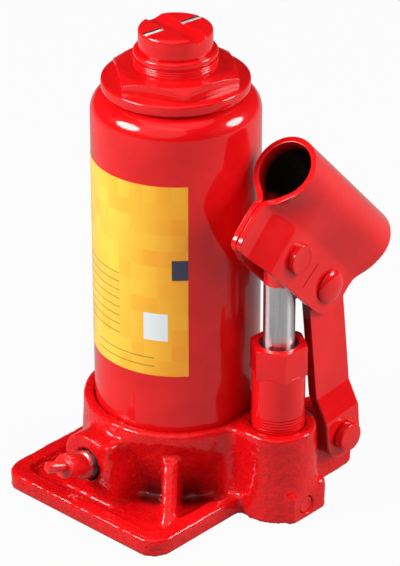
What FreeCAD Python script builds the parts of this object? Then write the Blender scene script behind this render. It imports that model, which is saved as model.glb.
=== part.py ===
"""Hydraulic bottle jack: cast base, reservoir, ram, hand pump with its link, and release valve.

Millimetres. The origin is on the underside of the base, on the axis of the ram. +Z is up,
+X points to the pump side and -Y to the front, where the pump handle is worked.
"""
import math
import os
import re

import FreeCAD, Part
import Sketcher

doc = FreeCAD.newDocument("bottle_jack")

# Driving dimensions
SIZES = {
    # base casting
    "plate_side_margin": 3.3, "plate_front_margin": 17.8, "plate_back_margin": 4.6, "plate_corner": 9.0,
    "rim_height": 7.0, "rim_width": 7.0, "rim_round": 1.6, "floor_height": 4.2, "floor_corner": 5.0,
    "boss_wall": 4.4, "boss_draft": 1.4, "boss_top": 34.0, "boss_round": 1.5,
    "rib_angle": -51.0, "rib_run": 13.6, "rib_top": 23.5, "rib_thickness": 6.0, "rib_round": 1.8,
    # reservoir tube and its seat in the base
    "tube_radius": 30.6, "tube_wall": 2.2, "tube_seat": 26.0, "tube_top": 156.2,
    "shoulder_radius": 7.8, "mouth_gap": 2.5, "gasket_thickness": 0.8,
    # ram cylinder
    "oil_gap": 9.4, "cylinder_wall": 3.3, "cylinder_seat": 12.0, "cylinder_top": 152.0,
    "well_floor": 10.0, "well_step": 1.7,
    # top nut
    "flange_inset": 4.0, "flange_thickness": 4.2, "flange_round": 0.8, "nut_hex_inset": 2.6,
    "nut_hex_height": 4.5, "nut_hex_angle": -38.6, "nut_chamfer": 2.0, "nut_skirt": 15.0,
    "nut_seal_width": 2.4, "nut_seal_height": 3.6,
    # ram and its piston end
    "ram_relief": 0.6, "ram_top": 172.0, "ram_round": 1.0, "piston_top": 33.0, "piston_foot": 25.0,
    "cup_height": 5.0, "washer_thickness": 1.5, "washer_share": 0.767, "spigot_share": 0.3834,
    "spigot_foot": 13.5, "seal_nut_share": 0.575, "seal_nut_height": 4.0,
    # extension screw
    "screw_radius": 8.9, "screw_length": 88.0, "screw_room": 4.0, "saddle_radius": 13.3,
    "saddle_height": 7.8, "saddle_round": 2.2, "saddle_angle": -8.0, "saddle_groove": 8.0,
    "saddle_groove_depth": 2.0, "saddle_slot": 2.2, "saddle_slot_depth": 1.8,
    # pump boss and pump cylinder
    "socket_clearance": 1.5, "pump_y": 6.0, "pump_boss_foot": 15.4, "pump_boss_rim": 14.3,
    "pump_boss_top": 35.0,
    "pump_radius": 9.8, "pump_seat": 14.0, "pump_hex_foot": 56.0, "pump_top": 68.0,
    "pump_hex_radius": 10.9, "pump_hex_angle": -35.6, "pump_chamfer": 1.0, "gland_radius": 7.25,
    "gland_depth": 6.0, "gland_height": 4.6, "pump_well_radius": 6.0, "pump_well_floor": 10.5,
    # plunger
    "plunger_radius": 5.8, "plunger_foot": 34.0, "plunger_head": 6.5, "plunger_round": 2.5,
    "plunger_groove": 1.2, "plunger_groove_z": 37.0, "plunger_groove_height": 3.0,
    # handle socket
    "socket_bore": 10.3, "socket_sheet": 2.2, "socket_tilt": 46.3,
    "socket_reach": 21.6, "socket_drop": 23.3, "ear_half_width": 8.6, "ear_below_pin": 10.6,
    "ear_front_round": 4.0, "ear_lead": 3.5, "socket_overhang": 3.9, "edge_sweep": 5.0,
    "pinch_gap": 0.3, "pinch_length": 16.5, "throat": 13.3, "crease": 0.2,
    # pins
    "plunger_pin_z": 104.9, "pin_pitch": 24.9, "pin_radius": 4.0, "pin_head_radius": 5.5,
    "pin_head_height": 2.4, "rivet_radius": 6.3, "rivet_height": 2.8, "clip_thickness": 1.0,
    "clip_radius": 6.5, "pin_tail": 1.0,
    # link and base pin
    "base_pin_y": 29.8, "base_pin_z": 23.3, "base_pin_radius": 4.5, "base_pin_head_radius": 5.5,
    "base_pin_head_height": 3.5, "base_clip_radius": 7.5, "link_thickness": 4.0, "link_half_width": 9.2,
    "link_gap": 0.7, "lug_gap": 0.3, "link_lean": 1.4, "joggle_foot": 8.6, "joggle_top": 19.0,
    "link_slack_y": 0.75, "link_slack_z": -0.43, "link_hole_radius": 5.2,
    # lug, passage pad and pump passages
    "lug_half_width": 7.2, "lug_end": 40.3, "lug_foot": 4.2, "lug_top": 30.5, "lug_round": 9.0,
    "lug_edge_round": 2.5, "pad_reach": 14.9, "pad_front": -3.0, "pad_back": 17.5, "pad_top": 12.0,
    "pad_round": 2.0, "port_radius": 1.2, "suction_ball_radius": 3.0, "suction_z": 8.0,
    "delivery_ball_radius": 2.8, "delivery_floor": 4.4, "delivery_z": 3.2, "delivery_offset": 4.0,
    "overload_z": 4.9, "overload_bore": 3.2, "overload_seat": 4.0, "overload_ball_radius": 2.0,
    "overload_plug": 2.8, "plug_sink": 0.7, "spring_wire": 0.4, "spring_turns": 4.0, "riser_x": 7.0,
    # release valve
    "valve_x": -5.4, "nose_reach": 6.6, "valve_z": 17.5, "valve_rise": 21.0, "nose_half_width": 11.6,
    "nose_draft": 1.2, "nose_top": 29.0, "nose_round": 10.2, "nose_edge_round": 1.6,
    "valve_thread_radius": 5.4, "valve_depth": 16.0, "valve_collar": 3.0, "valve_neck_radius": 4.0,
    "valve_neck": 5.4, "valve_head_radius": 4.5, "valve_head": 4.2, "valve_head_round": 1.0,
    "valve_tip_radius": 2.1, "valve_tip": 9.2, "valve_tip_round": 0.8, "valve_ball_radius": 3.0,
    "valve_groove": 1.2, "valve_groove_width": 2.0, "valve_groove_depth": 6.0,
    # filler plug and strainer
    "filler_z": 138.0, "filler_radius": 5.0, "filler_cap_radius": 7.0,
    "filler_cap": 1.8, "filler_stem": 4.5, "strainer_radius": 3.2, "strainer_wall": 0.6,
    "strainer_height": 7.0,
    # fits
    "running_gap": 0.05, "seat_gap": 0.02, "side_gap": 0.2,
}

# Places worked out from the driving dimensions
DERIVED = {
    "boss_rim_radius": "tube_radius + boss_wall",
    "boss_foot_radius": "boss_rim_radius + boss_draft",
    "plate_half_width": "boss_foot_radius + plate_side_margin",
    "plate_front": "boss_foot_radius + plate_front_margin",
    "plate_back": "boss_foot_radius + plate_back_margin",
    "rib_reach": "boss_foot_radius + rib_run",
    "valve_y": "-boss_foot_radius - nose_reach",
    "pump_x": "tube_radius + socket_clearance + socket_radius",
    "pad_face": "pump_x + pad_reach",
    "cylinder_radius": "tube_bore - oil_gap",
    "cylinder_bore": "cylinder_radius - cylinder_wall",
    "well_radius": "cylinder_bore - well_step",
    "ram_radius": "cylinder_bore - ram_relief",
    "washer_radius": "washer_share * piston_radius",
    "spigot_radius": "spigot_share * piston_radius",
    "seal_nut_radius": "seal_nut_share * piston_radius",
    "tube_mouth_radius": "cylinder_radius + mouth_gap",
    "flange_radius": "tube_radius - flange_inset",
    "nut_hex_radius": "flange_radius - nut_hex_inset",
    "cylinder_foot": "cylinder_seat + gasket_thickness",
    "tube_bore": "tube_radius - tube_wall",
    "tube_foot": "tube_seat + gasket_thickness",
    "tube_lip": "tube_radius - shoulder_radius",
    "flange_foot": "tube_top + gasket_thickness",
    "flange_top": "flange_foot + flange_thickness",
    "nut_top": "flange_top + nut_hex_height",
    "nut_skirt_foot": "flange_foot - nut_skirt",
    "nut_skirt_radius": "tube_mouth_radius - side_gap",
    "nut_flat": "nut_hex_radius * cos(30)",
    "ram_bore": "ram_radius + running_gap",
    "nut_seal_foot": "(cylinder_top + nut_top - nut_seal_height) / 2",
    "nut_seal_top": "nut_seal_foot + nut_seal_height",
    "piston_radius": "cylinder_bore - running_gap",
    "cup_foot": "piston_foot - cup_height",
    "washer_foot": "cup_foot - washer_thickness",
    "screw_bore": "screw_radius + running_gap",
    "saddle_foot": "ram_top + side_gap",
    "saddle_top": "saddle_foot + saddle_height",
    "saddle_slot_reach": "saddle_radius - saddle_round / 2",
    "screw_foot": "saddle_foot - screw_length",
    "pump_foot": "pump_seat + gasket_thickness",
    "pump_flat": "pump_hex_radius * cos(30)",
    "plunger_bore": "plunger_radius + running_gap",
    "plunger_top": "plunger_pin_z + plunger_head",
    "gland_foot": "pump_top - gland_depth",
    "socket_radius": "socket_bore + socket_sheet",
    "ear_end": "socket_reach + pin_pitch + ear_below_pin",
    "socket_length": "ear_end + socket_overhang",
    "wall_foot": "throat + 2 * socket_sheet",
    "socket_y": "pump_y + socket_drop * sin(socket_tilt) - socket_reach * cos(socket_tilt)",
    "socket_z": "plunger_pin_z + socket_drop * cos(socket_tilt) + socket_reach * sin(socket_tilt)",
    "ear_foot": "socket_drop + ear_below_pin",
    "link_pin_y": "pump_y + pin_pitch * cos(socket_tilt)",
    "link_pin_z": "plunger_pin_z - pin_pitch * sin(socket_tilt)",
    "pin_end": "ear_half_width + clip_thickness + pin_tail",
    "link_run_y": "base_pin_y - link_pin_y - link_slack_y",
    "link_run_z": "link_pin_z + link_slack_z - base_pin_z",
    "link_length": "sqrt(link_run_y ^ 2 + link_run_z ^ 2)",
    "link_tilt": "atan(link_run_y / link_run_z)",
    "link_upper_x": "ear_half_width - socket_sheet - link_thickness - link_gap",
    "link_bend_x": "link_upper_x + link_lean",
    "link_lower_x": "lug_half_width + lug_gap",
    "link_outer_x": "link_lower_x + link_thickness",
    "base_pin_head_x": "link_outer_x + side_gap",
    "base_pin_end": "lug_half_width + clip_thickness + pin_tail",
    "nose_foot": "nose_half_width + nose_draft",
    "valve_bore": "valve_thread_radius + running_gap",
    "valve_seat": "valve_depth + side_gap",
    "valve_groove_foot": "-valve_groove_depth - valve_groove_width",
    "valve_head_foot": "valve_collar + valve_neck",
    "valve_head_top": "valve_head_foot + valve_head",
    "valve_end": "valve_head_top + valve_tip",
    "drain_reach": "valve_seat + 6.5 * valve_ball_radius",
    "drain_y": "valve_y + drain_reach * cos(valve_rise)",
    "drain_z": "valve_z - drain_reach * sin(valve_rise)",
    "return_y": "valve_y + (valve_seat + 1.5 * valve_ball_radius) * cos(valve_rise)",
    "overload_x": "pump_x + overload_seat",
    "spring_foot": "overload_x + 2 * overload_ball_radius",
    "overload_plug_x": "pad_face - overload_plug",
    "delivery_y": "pump_y - delivery_offset",
    "delivery_x": "pump_x - delivery_offset / 2",
    "strainer_path": "(cylinder_radius + tube_bore) / 2",
    "strainer_x": "sqrt(strainer_path ^ 2 - pump_y ^ 2)",
}

sheet = doc.addObject("Spreadsheet::Sheet", "Sizes")
for row, (alias, number) in enumerate(SIZES.items(), start=1):
    sheet.set("A%d" % row, alias)
    sheet.set("B%d" % row, str(number))
    sheet.setAlias("B%d" % row, alias)
doc.recompute()


def bound(text):
    """Write an expression in words as one on the sheet's cells."""
    def swap(match):
        word = match.group(0)
        if word in SIZES:
            return "Sizes." + word
        if word in DERIVED:
            return "(" + bound(DERIVED[word]) + ")"
        return word
    return re.sub(r"[A-Za-z_]\w*", swap, text)


def size(text):
    """The number that an expression in words gives with the sheet's values."""
    result = sheet.evalExpression(bound(text))
    return float(getattr(result, "Value", result))


def bind(thing, **properties):
    """Tie properties to expressions; a double underscore stands for the dot of a nested one."""
    for name, text in properties.items():
        thing.setExpression(name.replace("__", "."), bound(text))
    return thing


def place(thing, x="0", y="0", z="0", axis=None, turn="0"):
    """Put an object at a place, turned about an axis."""
    if axis:
        spin = FreeCAD.Rotation(FreeCAD.Vector(*axis), 1)
        thing.Placement = FreeCAD.Placement(FreeCAD.Vector(), spin)
        bind(thing, Placement__Rotation__Angle=turn)
    return bind(thing, Placement__Base__x=x, Placement__Base__y=y, Placement__Base__z=z)


# A solid made along +Z is laid along +X or +Y by one of these
ALONG_X = {"axis": (0, 1, 0), "turn": "90"}
ALONG_Y = {"axis": (1, 0, 0), "turn": "-90"}
ON_PUMP = {"x": "pump_x", "y": "pump_y"}


def cylinder(name, radius, length, **where):
    return place(bind(doc.addObject("Part::Cylinder", name), Radius=radius, Height=length), **where)


def ball(name, radius, **where):
    return place(bind(doc.addObject("Part::Sphere", name), Radius=radius), **where)


def box(name, length, width, height, **where):
    solid = bind(doc.addObject("Part::Box", name), Length=length, Width=width, Height=height)
    return place(solid, **where)


def hexagon(name, corner_radius, height, **where):
    solid = bind(doc.addObject("Part::Prism", name), Circumradius=corner_radius, Height=height)
    solid.Polygon = 6
    return place(solid, **where)


def fuse(name, *shapes):
    joined = doc.addObject("Part::MultiFuse", name)
    joined.Shapes = list(shapes)
    joined.Refine = True
    return joined


def common(name, first, second):
    shared = doc.addObject("Part::Common", name)
    shared.Base, shared.Tool = first, second
    return shared


def cut(name, whole, *tools):
    """Take one tool, or several joined ones, out of a solid."""
    rest = doc.addObject("Part::Cut", name)
    rest.Base = whole
    rest.Tool = tools[0] if len(tools) == 1 else fuse(name + "_tools", *tools)
    rest.Refine = True
    return rest


def outlined(name, plane, points):
    """A body with a closed outline of straight lines, each corner tied to two expressions."""
    body = doc.addObject("PartDesign::Body", name)
    sketch = body.newObject("Sketcher::SketchObject", name + "_outline")
    origin_plane = [item for item in body.Origin.OriginFeatures if item.Role == plane][0]
    sketch.AttachmentSupport = (origin_plane, "")
    sketch.MapMode = "FlatFace"
    corners = [FreeCAD.Vector(size(across), size(along), 0) for across, along in points]
    for start, end in zip(corners, corners[1:] + corners[:1]):
        sketch.addGeometry(Part.LineSegment(start, end))
    last = len(points) - 1
    for index, (across, along) in enumerate(points):
        before = index - 1 if index else last
        sketch.addConstraint(Sketcher.Constraint("Coincident", before, 2, index, 1))
        for kind, axis, text, value in (("DistanceX", -2, across, corners[index].x),
                                        ("DistanceY", -1, along, corners[index].y)):
            if text == "0":
                sketch.addConstraint(Sketcher.Constraint("PointOnObject", index, 1, axis))
            else:
                number = sketch.addConstraint(Sketcher.Constraint(kind, -1, 1, index, 1, value))
                sketch.setExpression("Constraints[%d]" % number, bound(text))
    return body, sketch


def turned(name, *points):
    """A solid of revolution about Z from an outline of (radius, height) corners."""
    body, sketch = outlined(name, "XZ_Plane", points)
    spin = body.newObject("PartDesign::Revolution", name + "_spin")
    spin.Profile = sketch
    spin.ReferenceAxis = (sketch, ["V_Axis"])
    spin.Angle = 360
    doc.recompute()
    return body


def ring(name, inner, outer, foot, top, **where):
    """A plain round ring."""
    body = turned(name, (inner, foot), (outer, foot), (outer, top), (inner, top))
    return place(body, **where)


def padded(name, plane, length, *points):
    """A solid pushed out of one of the three origin planes from an outline of corners."""
    body, sketch = outlined(name, plane, points)
    pad = body.newObject("PartDesign::Pad", name + "_pad")
    pad.Profile = sketch
    bind(pad, Length=length)
    doc.recompute()
    return body


def rounded(body, radius, chosen):
    """Round those edges of a body for which chosen(edge) is true."""
    tip = body.Tip
    names = ["Edge%d" % number for number, edge in enumerate(tip.Shape.Edges, start=1) if chosen(edge)]
    fillet = body.newObject("PartDesign::Fillet", body.Name + "_round")
    fillet.Base = (tip, names)
    bind(fillet, Radius=radius)
    doc.recompute()
    return body


def near(value, text):
    return abs(value - size(text)) < 1e-4


def circle_at(radius, height):
    """Chooses the round edge of a turned solid with that radius and height."""
    def chosen(edge):
        round_edge = hasattr(edge.Curve, "Radius")
        return round_edge and near(edge.Curve.Radius, radius) and near(edge.Curve.Center.z, height)
    return chosen


def straight_along(axis, **at):
    """Chooses the straight edges along an axis, kept to those whose middle has the given places."""
    def chosen(edge):
        if not isinstance(edge.Curve, (Part.Line, Part.LineSegment)):
            return False
        middle = edge.CenterOfMass
        along = abs(getattr(edge.Curve.Direction, axis)) > 0.999
        return along and all(near(getattr(middle, name), text) for name, text in at.items())
    return chosen


# Base casting
def base_casting():
    plate = padded("base_plate", "XY_Plane", "rim_height",
                   ("-plate_half_width", "-plate_front"), ("plate_half_width", "-plate_front"),
                   ("plate_half_width", "plate_back"), ("-plate_half_width", "plate_back"))
    rounded(plate, "plate_corner", straight_along("z"))
    rounded(plate, "rim_round", lambda edge: near(edge.CenterOfMass.z, "rim_height"))
    pocket = padded("plate_pocket", "XY_Plane", "rim_height",
                    ("rim_width - plate_half_width", "rim_width - plate_front"),
                    ("plate_half_width - rim_width", "rim_width - plate_front"),
                    ("plate_half_width - rim_width", "plate_back - rim_width"),
                    ("rim_width - plate_half_width", "plate_back - rim_width"))
    rounded(pocket, "floor_corner", straight_along("z"))
    place(pocket, z="floor_height")
    tray = cut("base_tray", plate, pocket)

    main_boss = turned("main_boss", ("0", "0"), ("boss_foot_radius", "0"),
                       ("boss_rim_radius", "boss_top"), ("0", "boss_top"))
    rounded(main_boss, "boss_round", circle_at("boss_rim_radius", "boss_top"))
    pump_boss = turned("pump_boss", ("0", "0"), ("pump_boss_foot", "0"),
                       ("pump_boss_rim", "pump_boss_top"), ("0", "pump_boss_top"))
    rounded(pump_boss, "boss_round", circle_at("pump_boss_rim", "pump_boss_top"))
    place(pump_boss, **ON_PUMP)
    web = box("boss_web", "pump_x - boss_rim_radius / 2", "2 * pump_boss_rim", "boss_top",
              x="boss_rim_radius / 2", y="pump_y - pump_boss_rim")

    pad = padded("passage_pad", "XY_Plane", "pad_top", ("pump_x", "pad_front"), ("pad_face", "pad_front"),
                 ("pad_face", "pad_back"), ("pump_x", "pad_back"))
    rounded(pad, "pad_round", lambda edge: near(edge.BoundBox.XMin, "pad_face") and edge.BoundBox.ZMax > 1)

    lug = padded("link_lug", "YZ_Plane", "2 * lug_half_width", ("pump_y", "lug_foot"),
                 ("lug_end", "lug_foot"), ("lug_end", "lug_top"), ("pump_y", "lug_top"))
    rounded(lug, "lug_round", straight_along("x", y="lug_end", z="lug_top"))
    rounded(lug, "lug_edge_round", straight_along("x", y="lug_end", z="lug_foot"))
    place(lug, x="pump_x - lug_half_width")

    rib = padded("front_rib", "XZ_Plane", "rib_thickness", ("tube_bore", "0"), ("rib_reach", "0"),
                 ("rib_reach", "floor_height"), ("boss_rim_radius", "rib_top"), ("tube_bore", "rib_top"))
    rounded(rib, "rib_round", lambda edge: edge.CenterOfMass.x > size("boss_rim_radius")
            and edge.CenterOfMass.z > size("floor_height") and edge.Length > size("rib_thickness") + 1)
    place(rib, axis=(0, 0, 1), turn="rib_angle", x="-sin(rib_angle) * rib_thickness / 2",
          y="cos(rib_angle) * rib_thickness / 2")

    nose = padded("valve_nose", "XZ_Plane", "-valve_y", ("valve_x - nose_foot", "0"),
                  ("valve_x + nose_foot", "0"), ("valve_x + nose_half_width", "nose_top"),
                  ("valve_x - nose_half_width", "nose_top"))
    rounded(nose, "nose_round", straight_along("y", z="nose_top"))
    rounded(nose, "nose_edge_round", lambda edge: near(edge.BoundBox.YMin, "valve_y")
            and near(edge.BoundBox.YMax, "valve_y") and edge.CenterOfMass.z > 1)

    body = fuse("base_blank", tray, main_boss, pump_boss, web, pad, lug, rib, nose)
    return cut(
        "base_casting", body,
        cylinder("tube_recess", "tube_radius + seat_gap", "boss_top", z="tube_seat"),
        cylinder("cylinder_recess", "cylinder_radius + seat_gap", "boss_top", z="cylinder_seat"),
        cylinder("ram_well", "well_radius", "boss_top", z="well_floor"),
        cylinder("pump_recess", "pump_radius + seat_gap", "pump_boss_top", z="pump_seat", **ON_PUMP),
        cylinder("pump_well", "pump_well_radius", "pump_boss_top", z="pump_well_floor", **ON_PUMP),
        cylinder("base_pin_hole", "base_pin_radius + seat_gap", "3 * lug_half_width",
                 x="pump_x - 1.5 * lug_half_width", y="base_pin_y", z="base_pin_z", **ALONG_X),
        release_bore(), *oil_ways())


def on_valve(thing):
    """Lay a solid made along +Z on the release valve's axis, which rises towards the front."""
    return place(thing, axis=(1, 0, 0), turn="90 - valve_rise", x="valve_x", y="valve_y", z="valve_z")


def release_bore():
    """Threaded hole, ball seat and drain hole of the release valve, one behind the other."""
    seat = "-valve_seat - 2 * valve_ball_radius"
    return on_valve(turned(
        "release_bore", ("0", "-drain_reach"), ("port_radius", "-drain_reach"), ("port_radius", seat),
        ("valve_ball_radius + seat_gap", seat), ("valve_ball_radius + seat_gap", "-valve_seat"),
        ("valve_bore", "-valve_seat"), ("valve_bore", "valve_thread_radius"), ("0", "valve_thread_radius")))


def riser(name, x, y, foot, top):
    """Upright drilled hole."""
    return cylinder(name, "port_radius", "%s - (%s)" % (top, foot), x=x, y=y, z=foot)


def crossway(name, start, end, y, z):
    """Drilled hole along X."""
    return cylinder(name, "port_radius", "%s - (%s)" % (end, start), x=start, y=y, z=z, **ALONG_X)


def oil_ways():
    """Holes that join the reservoir, the pump, the ram and the valves."""
    return [
        # from the reservoir to below the suction ball, and on to the overload valve's outlet
        riser("suction_fall", "strainer_x", "pump_y", "suction_z", "tube_seat + 1"),
        crossway("suction_way", "strainer_x", "spring_foot", "pump_y", "suction_z"),
        riser("suction_port", "pump_x", "pump_y", "suction_z", "pump_well_floor + 1"),
        riser("overload_return", "spring_foot - port_radius", "pump_y", "overload_z", "suction_z"),
        # from the pump to below the delivery ball in the ram's well
        riser("delivery_fall", "delivery_x", "delivery_y", "delivery_z", "pump_well_floor + 1"),
        crossway("delivery_way", "0", "delivery_x", "delivery_y", "delivery_z"),
        riser("delivery_port", "0", "delivery_y", "delivery_z", "well_floor"),
        cylinder("delivery_pocket", "delivery_ball_radius + seat_gap", "well_floor", y="delivery_y",
                 z="delivery_floor"),
        # from the ram's well to the overload valve behind its plug
        riser("overload_fall", "riser_x", "pump_y", "overload_z", "well_floor + 1"),
        crossway("overload_way", "riser_x", "overload_x + 1", "pump_y", "overload_z"),
        cylinder("overload_hole", "overload_bore", "pad_face", x="overload_x", y="pump_y", z="overload_z",
                 **ALONG_X),
        # from the ram's well through the release valve back to the reservoir
        riser("drain_fall", "valve_x", "drain_y", "drain_z", "well_floor + 1"),
        riser("drain_return", "valve_x", "return_y", "valve_z - valve_seat * sin(valve_rise)",
              "tube_seat + 1"),
    ]


# Reservoir
def reservoir_tube():
    blank = turned("tube_blank", ("tube_bore", "tube_foot"), ("tube_radius", "tube_foot"),
                   ("tube_radius", "tube_top"), ("tube_mouth_radius", "tube_top"),
                   ("tube_mouth_radius", "tube_top - tube_wall"), ("tube_bore", "tube_top - tube_wall"))
    rounded(blank, "shoulder_radius", circle_at("tube_radius", "tube_top"))
    rounded(blank, "shoulder_radius - tube_wall", circle_at("tube_bore", "tube_top - tube_wall"))
    hole = cylinder("filler_hole", "filler_radius", "2 * tube_radius", z="filler_z", **ALONG_Y)
    return cut("reservoir_tube", blank, hole)


def filler_plug():
    """Rubber plug pushed into the rear of the tube, with a low cap outside."""
    plug = turned("filler_plug", ("0", "-filler_stem"), ("filler_radius - seat_gap", "-filler_stem"),
                  ("filler_radius - seat_gap", "seat_gap"), ("filler_cap_radius", "seat_gap"),
                  ("filler_cap_radius", "filler_cap / 2"), ("filler_radius", "filler_cap"),
                  ("0", "filler_cap"))
    return place(plug, y="tube_radius", z="filler_z", **ALONG_Y)


def oil_strainer():
    """Thimble of gauze that stands on the reservoir's floor over the suction hole."""
    thimble = turned("oil_strainer", ("strainer_radius - strainer_wall", "0"), ("strainer_radius", "0"),
                     ("strainer_radius", "strainer_height"), ("0", "strainer_height"),
                     ("0", "strainer_height - strainer_wall"),
                     ("strainer_radius - strainer_wall", "strainer_height - strainer_wall"))
    return place(thimble, x="strainer_x", y="pump_y", z="tube_seat")


# Ram and its cylinder
def top_nut():
    """Cap nut that clamps the tube: skirt over the cylinder, flange, and a low hexagon."""
    round_part = turned(
        "nut_round", ("ram_bore", "cylinder_top"), ("cylinder_radius + seat_gap", "cylinder_top"),
        ("cylinder_radius + seat_gap", "nut_skirt_foot"), ("nut_skirt_radius", "nut_skirt_foot"),
        ("nut_skirt_radius", "flange_foot"), ("flange_radius", "flange_foot"),
        ("flange_radius", "flange_top"),
        ("ram_bore", "flange_top"), ("ram_bore", "nut_seal_top"),
        ("ram_bore + nut_seal_width", "nut_seal_top"),
        ("ram_bore + nut_seal_width", "nut_seal_foot"), ("ram_bore", "nut_seal_foot"))
    rounded(round_part, "flange_round", circle_at("flange_radius", "flange_top"))
    flats = hexagon("nut_flats", "nut_hex_radius", "nut_hex_height", z="flange_top",
                    axis=(0, 0, 1), turn="nut_hex_angle")
    dome = turned("nut_dome", ("ram_bore", "flange_top"), ("nut_hex_radius", "flange_top"),
                  ("nut_hex_radius", "nut_top - nut_chamfer"), ("nut_flat - side_gap", "nut_top"),
                  ("ram_bore", "nut_top"))
    return fuse("top_nut", round_part, common("nut_hex", flats, dome))


def ram():
    bar = turned("ram", ("0", "spigot_foot"), ("spigot_radius", "spigot_foot"),
                 ("spigot_radius", "piston_foot"),
                 ("piston_radius", "piston_foot"), ("piston_radius", "piston_top"),
                 ("ram_radius", "piston_top"),
                 ("ram_radius", "ram_top"), ("screw_bore", "ram_top"),
                 ("screw_bore", "screw_foot - screw_room"),
                 ("0", "screw_foot - screw_room"))
    return rounded(bar, "ram_round", circle_at("ram_radius", "ram_top"))


def ram_seal_nut():
    flats = hexagon("seal_nut_flats", "seal_nut_radius", "seal_nut_height",
                    z="washer_foot - seal_nut_height")
    return cut("ram_seal_nut", flats, cylinder("seal_nut_hole", "spigot_radius + seat_gap", "washer_foot"))


def extension_screw():
    """Screw in the ram with a round saddle head, cross grooved so that a load does not slip."""
    screw = turned("screw_blank", ("0", "screw_foot"), ("screw_radius", "screw_foot"),
                   ("screw_radius", "saddle_foot"), ("saddle_radius", "saddle_foot"),
                   ("saddle_radius", "saddle_top"), ("0", "saddle_top"))
    rounded(screw, "saddle_round", circle_at("saddle_radius", "saddle_top"))
    hollow = [("saddle_groove / 2 * cos(%d)" % turn, "-saddle_groove_depth * sin(%d)" % turn)
              for turn in range(0, 181, 20)]
    groove = padded("saddle_groove_cut", "YZ_Plane", "4 * saddle_radius", *hollow,
                    ("-saddle_groove / 2", "saddle_groove_depth"),
                    ("saddle_groove / 2", "saddle_groove_depth"))
    place(groove, axis=(0, 0, 1), turn="saddle_angle", x="-2 * saddle_radius * cos(saddle_angle)",
          y="-2 * saddle_radius * sin(saddle_angle)", z="saddle_top")
    slot = padded("saddle_slot_cut", "XZ_Plane", "2 * saddle_slot_reach",
                  ("-saddle_slot / 2", "-saddle_slot_depth"), ("saddle_slot / 2", "-saddle_slot_depth"),
                  ("saddle_slot / 2", "saddle_slot_depth"), ("-saddle_slot / 2", "saddle_slot_depth"))
    place(slot, axis=(0, 0, 1), turn="saddle_angle", x="-saddle_slot_reach * sin(saddle_angle)",
          y="saddle_slot_reach * cos(saddle_angle)", z="saddle_top")
    return cut("extension_screw", screw, groove, slot)


# Pump
def pump_cylinder():
    """Round barrel screwed into the pump boss, with a hexagon and a gland at its top."""
    barrel = turned("pump_barrel", ("plunger_bore", "pump_foot"), ("pump_radius", "pump_foot"),
                    ("pump_radius", "pump_hex_foot"), ("plunger_bore", "pump_hex_foot"))
    flats = hexagon("pump_flats", "pump_hex_radius", "pump_top - pump_hex_foot", z="pump_hex_foot",
                    axis=(0, 0, 1), turn="pump_hex_angle")
    dome = turned("pump_dome", ("plunger_bore", "pump_hex_foot"), ("pump_radius", "pump_hex_foot"),
                  ("pump_hex_radius", "pump_hex_foot + pump_chamfer"),
                  ("pump_hex_radius", "pump_top - pump_chamfer"),
                  ("pump_flat - side_gap", "pump_top"), ("gland_radius", "pump_top"),
                  ("gland_radius", "gland_foot"),
                  ("plunger_bore", "gland_foot"))
    return place(fuse("pump_cylinder", barrel, common("pump_hex", flats, dome)), **ON_PUMP)


def pump_plunger():
    """Steel rod with a seal groove near its foot and a cross hole for the socket's pin."""
    rod = turned("plunger_rod", ("0", "plunger_foot"), ("plunger_radius", "plunger_foot"),
                 ("plunger_radius", "plunger_groove_z"), ("plunger_radius - plunger_groove",
                                                          "plunger_groove_z"),
                 ("plunger_radius - plunger_groove", "plunger_groove_z + plunger_groove_height"),
                 ("plunger_radius", "plunger_groove_z + plunger_groove_height"),
                 ("plunger_radius", "plunger_top - plunger_round"),
                 ("plunger_radius - plunger_round", "plunger_top"), ("0", "plunger_top"))
    place(rod, **ON_PUMP)
    hole = cylinder("plunger_cross_hole", "pin_radius + running_gap", "4 * plunger_radius",
                    x="pump_x - 2 * plunger_radius", y="pump_y", z="plunger_pin_z", **ALONG_X)
    return cut("pump_plunger", rod, hole)


def overload_spring():
    """Open coil that holds the overload valve's ball on its seat."""
    coil_radius = size("overload_bore - 2 * spring_wire")
    length = size("overload_plug_x - spring_foot - 2 * spring_wire")
    helix = Part.makeHelix(length / size("spring_turns"), length, coil_radius)
    start = FreeCAD.Vector(coil_radius, 0, 0)
    wire = Part.Wire(Part.makeCircle(size("spring_wire"), start, FreeCAD.Vector(0, 1, 0)))
    spring = doc.addObject("Part::Feature", "overload_spring")
    spring.Shape = Part.Wire(helix).makePipeShell([wire], True, True)
    return place(spring, x="spring_foot + spring_wire", y="pump_y", z="overload_z", **ALONG_X)


def overload_plug():
    """Screwed plug that sets the overload valve's spring, with a driver slot."""
    plug = cylinder("overload_plug_blank", "overload_bore - seat_gap", "overload_plug - plug_sink",
                    x="overload_plug_x", y="pump_y", z="overload_z", **ALONG_X)
    slot = box("overload_plug_slot", "overload_plug", "4 * overload_bore", "overload_bore / 4",
               x="pad_face - 2 * plug_sink", y="pump_y - 2 * overload_bore",
               z="overload_z - overload_bore / 8")
    return cut("overload_plug", plug, slot)


# Handle socket, in its own frame: mouth at the origin, tube along +Y, ears hanging down
def pinch(along):
    """How far the ears have opened at a distance from the mouth, from 0 to 1."""
    share = min(max(along / size("pinch_length"), 0.0), 1.0)
    return share * share * (3 - 2 * share)


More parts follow.
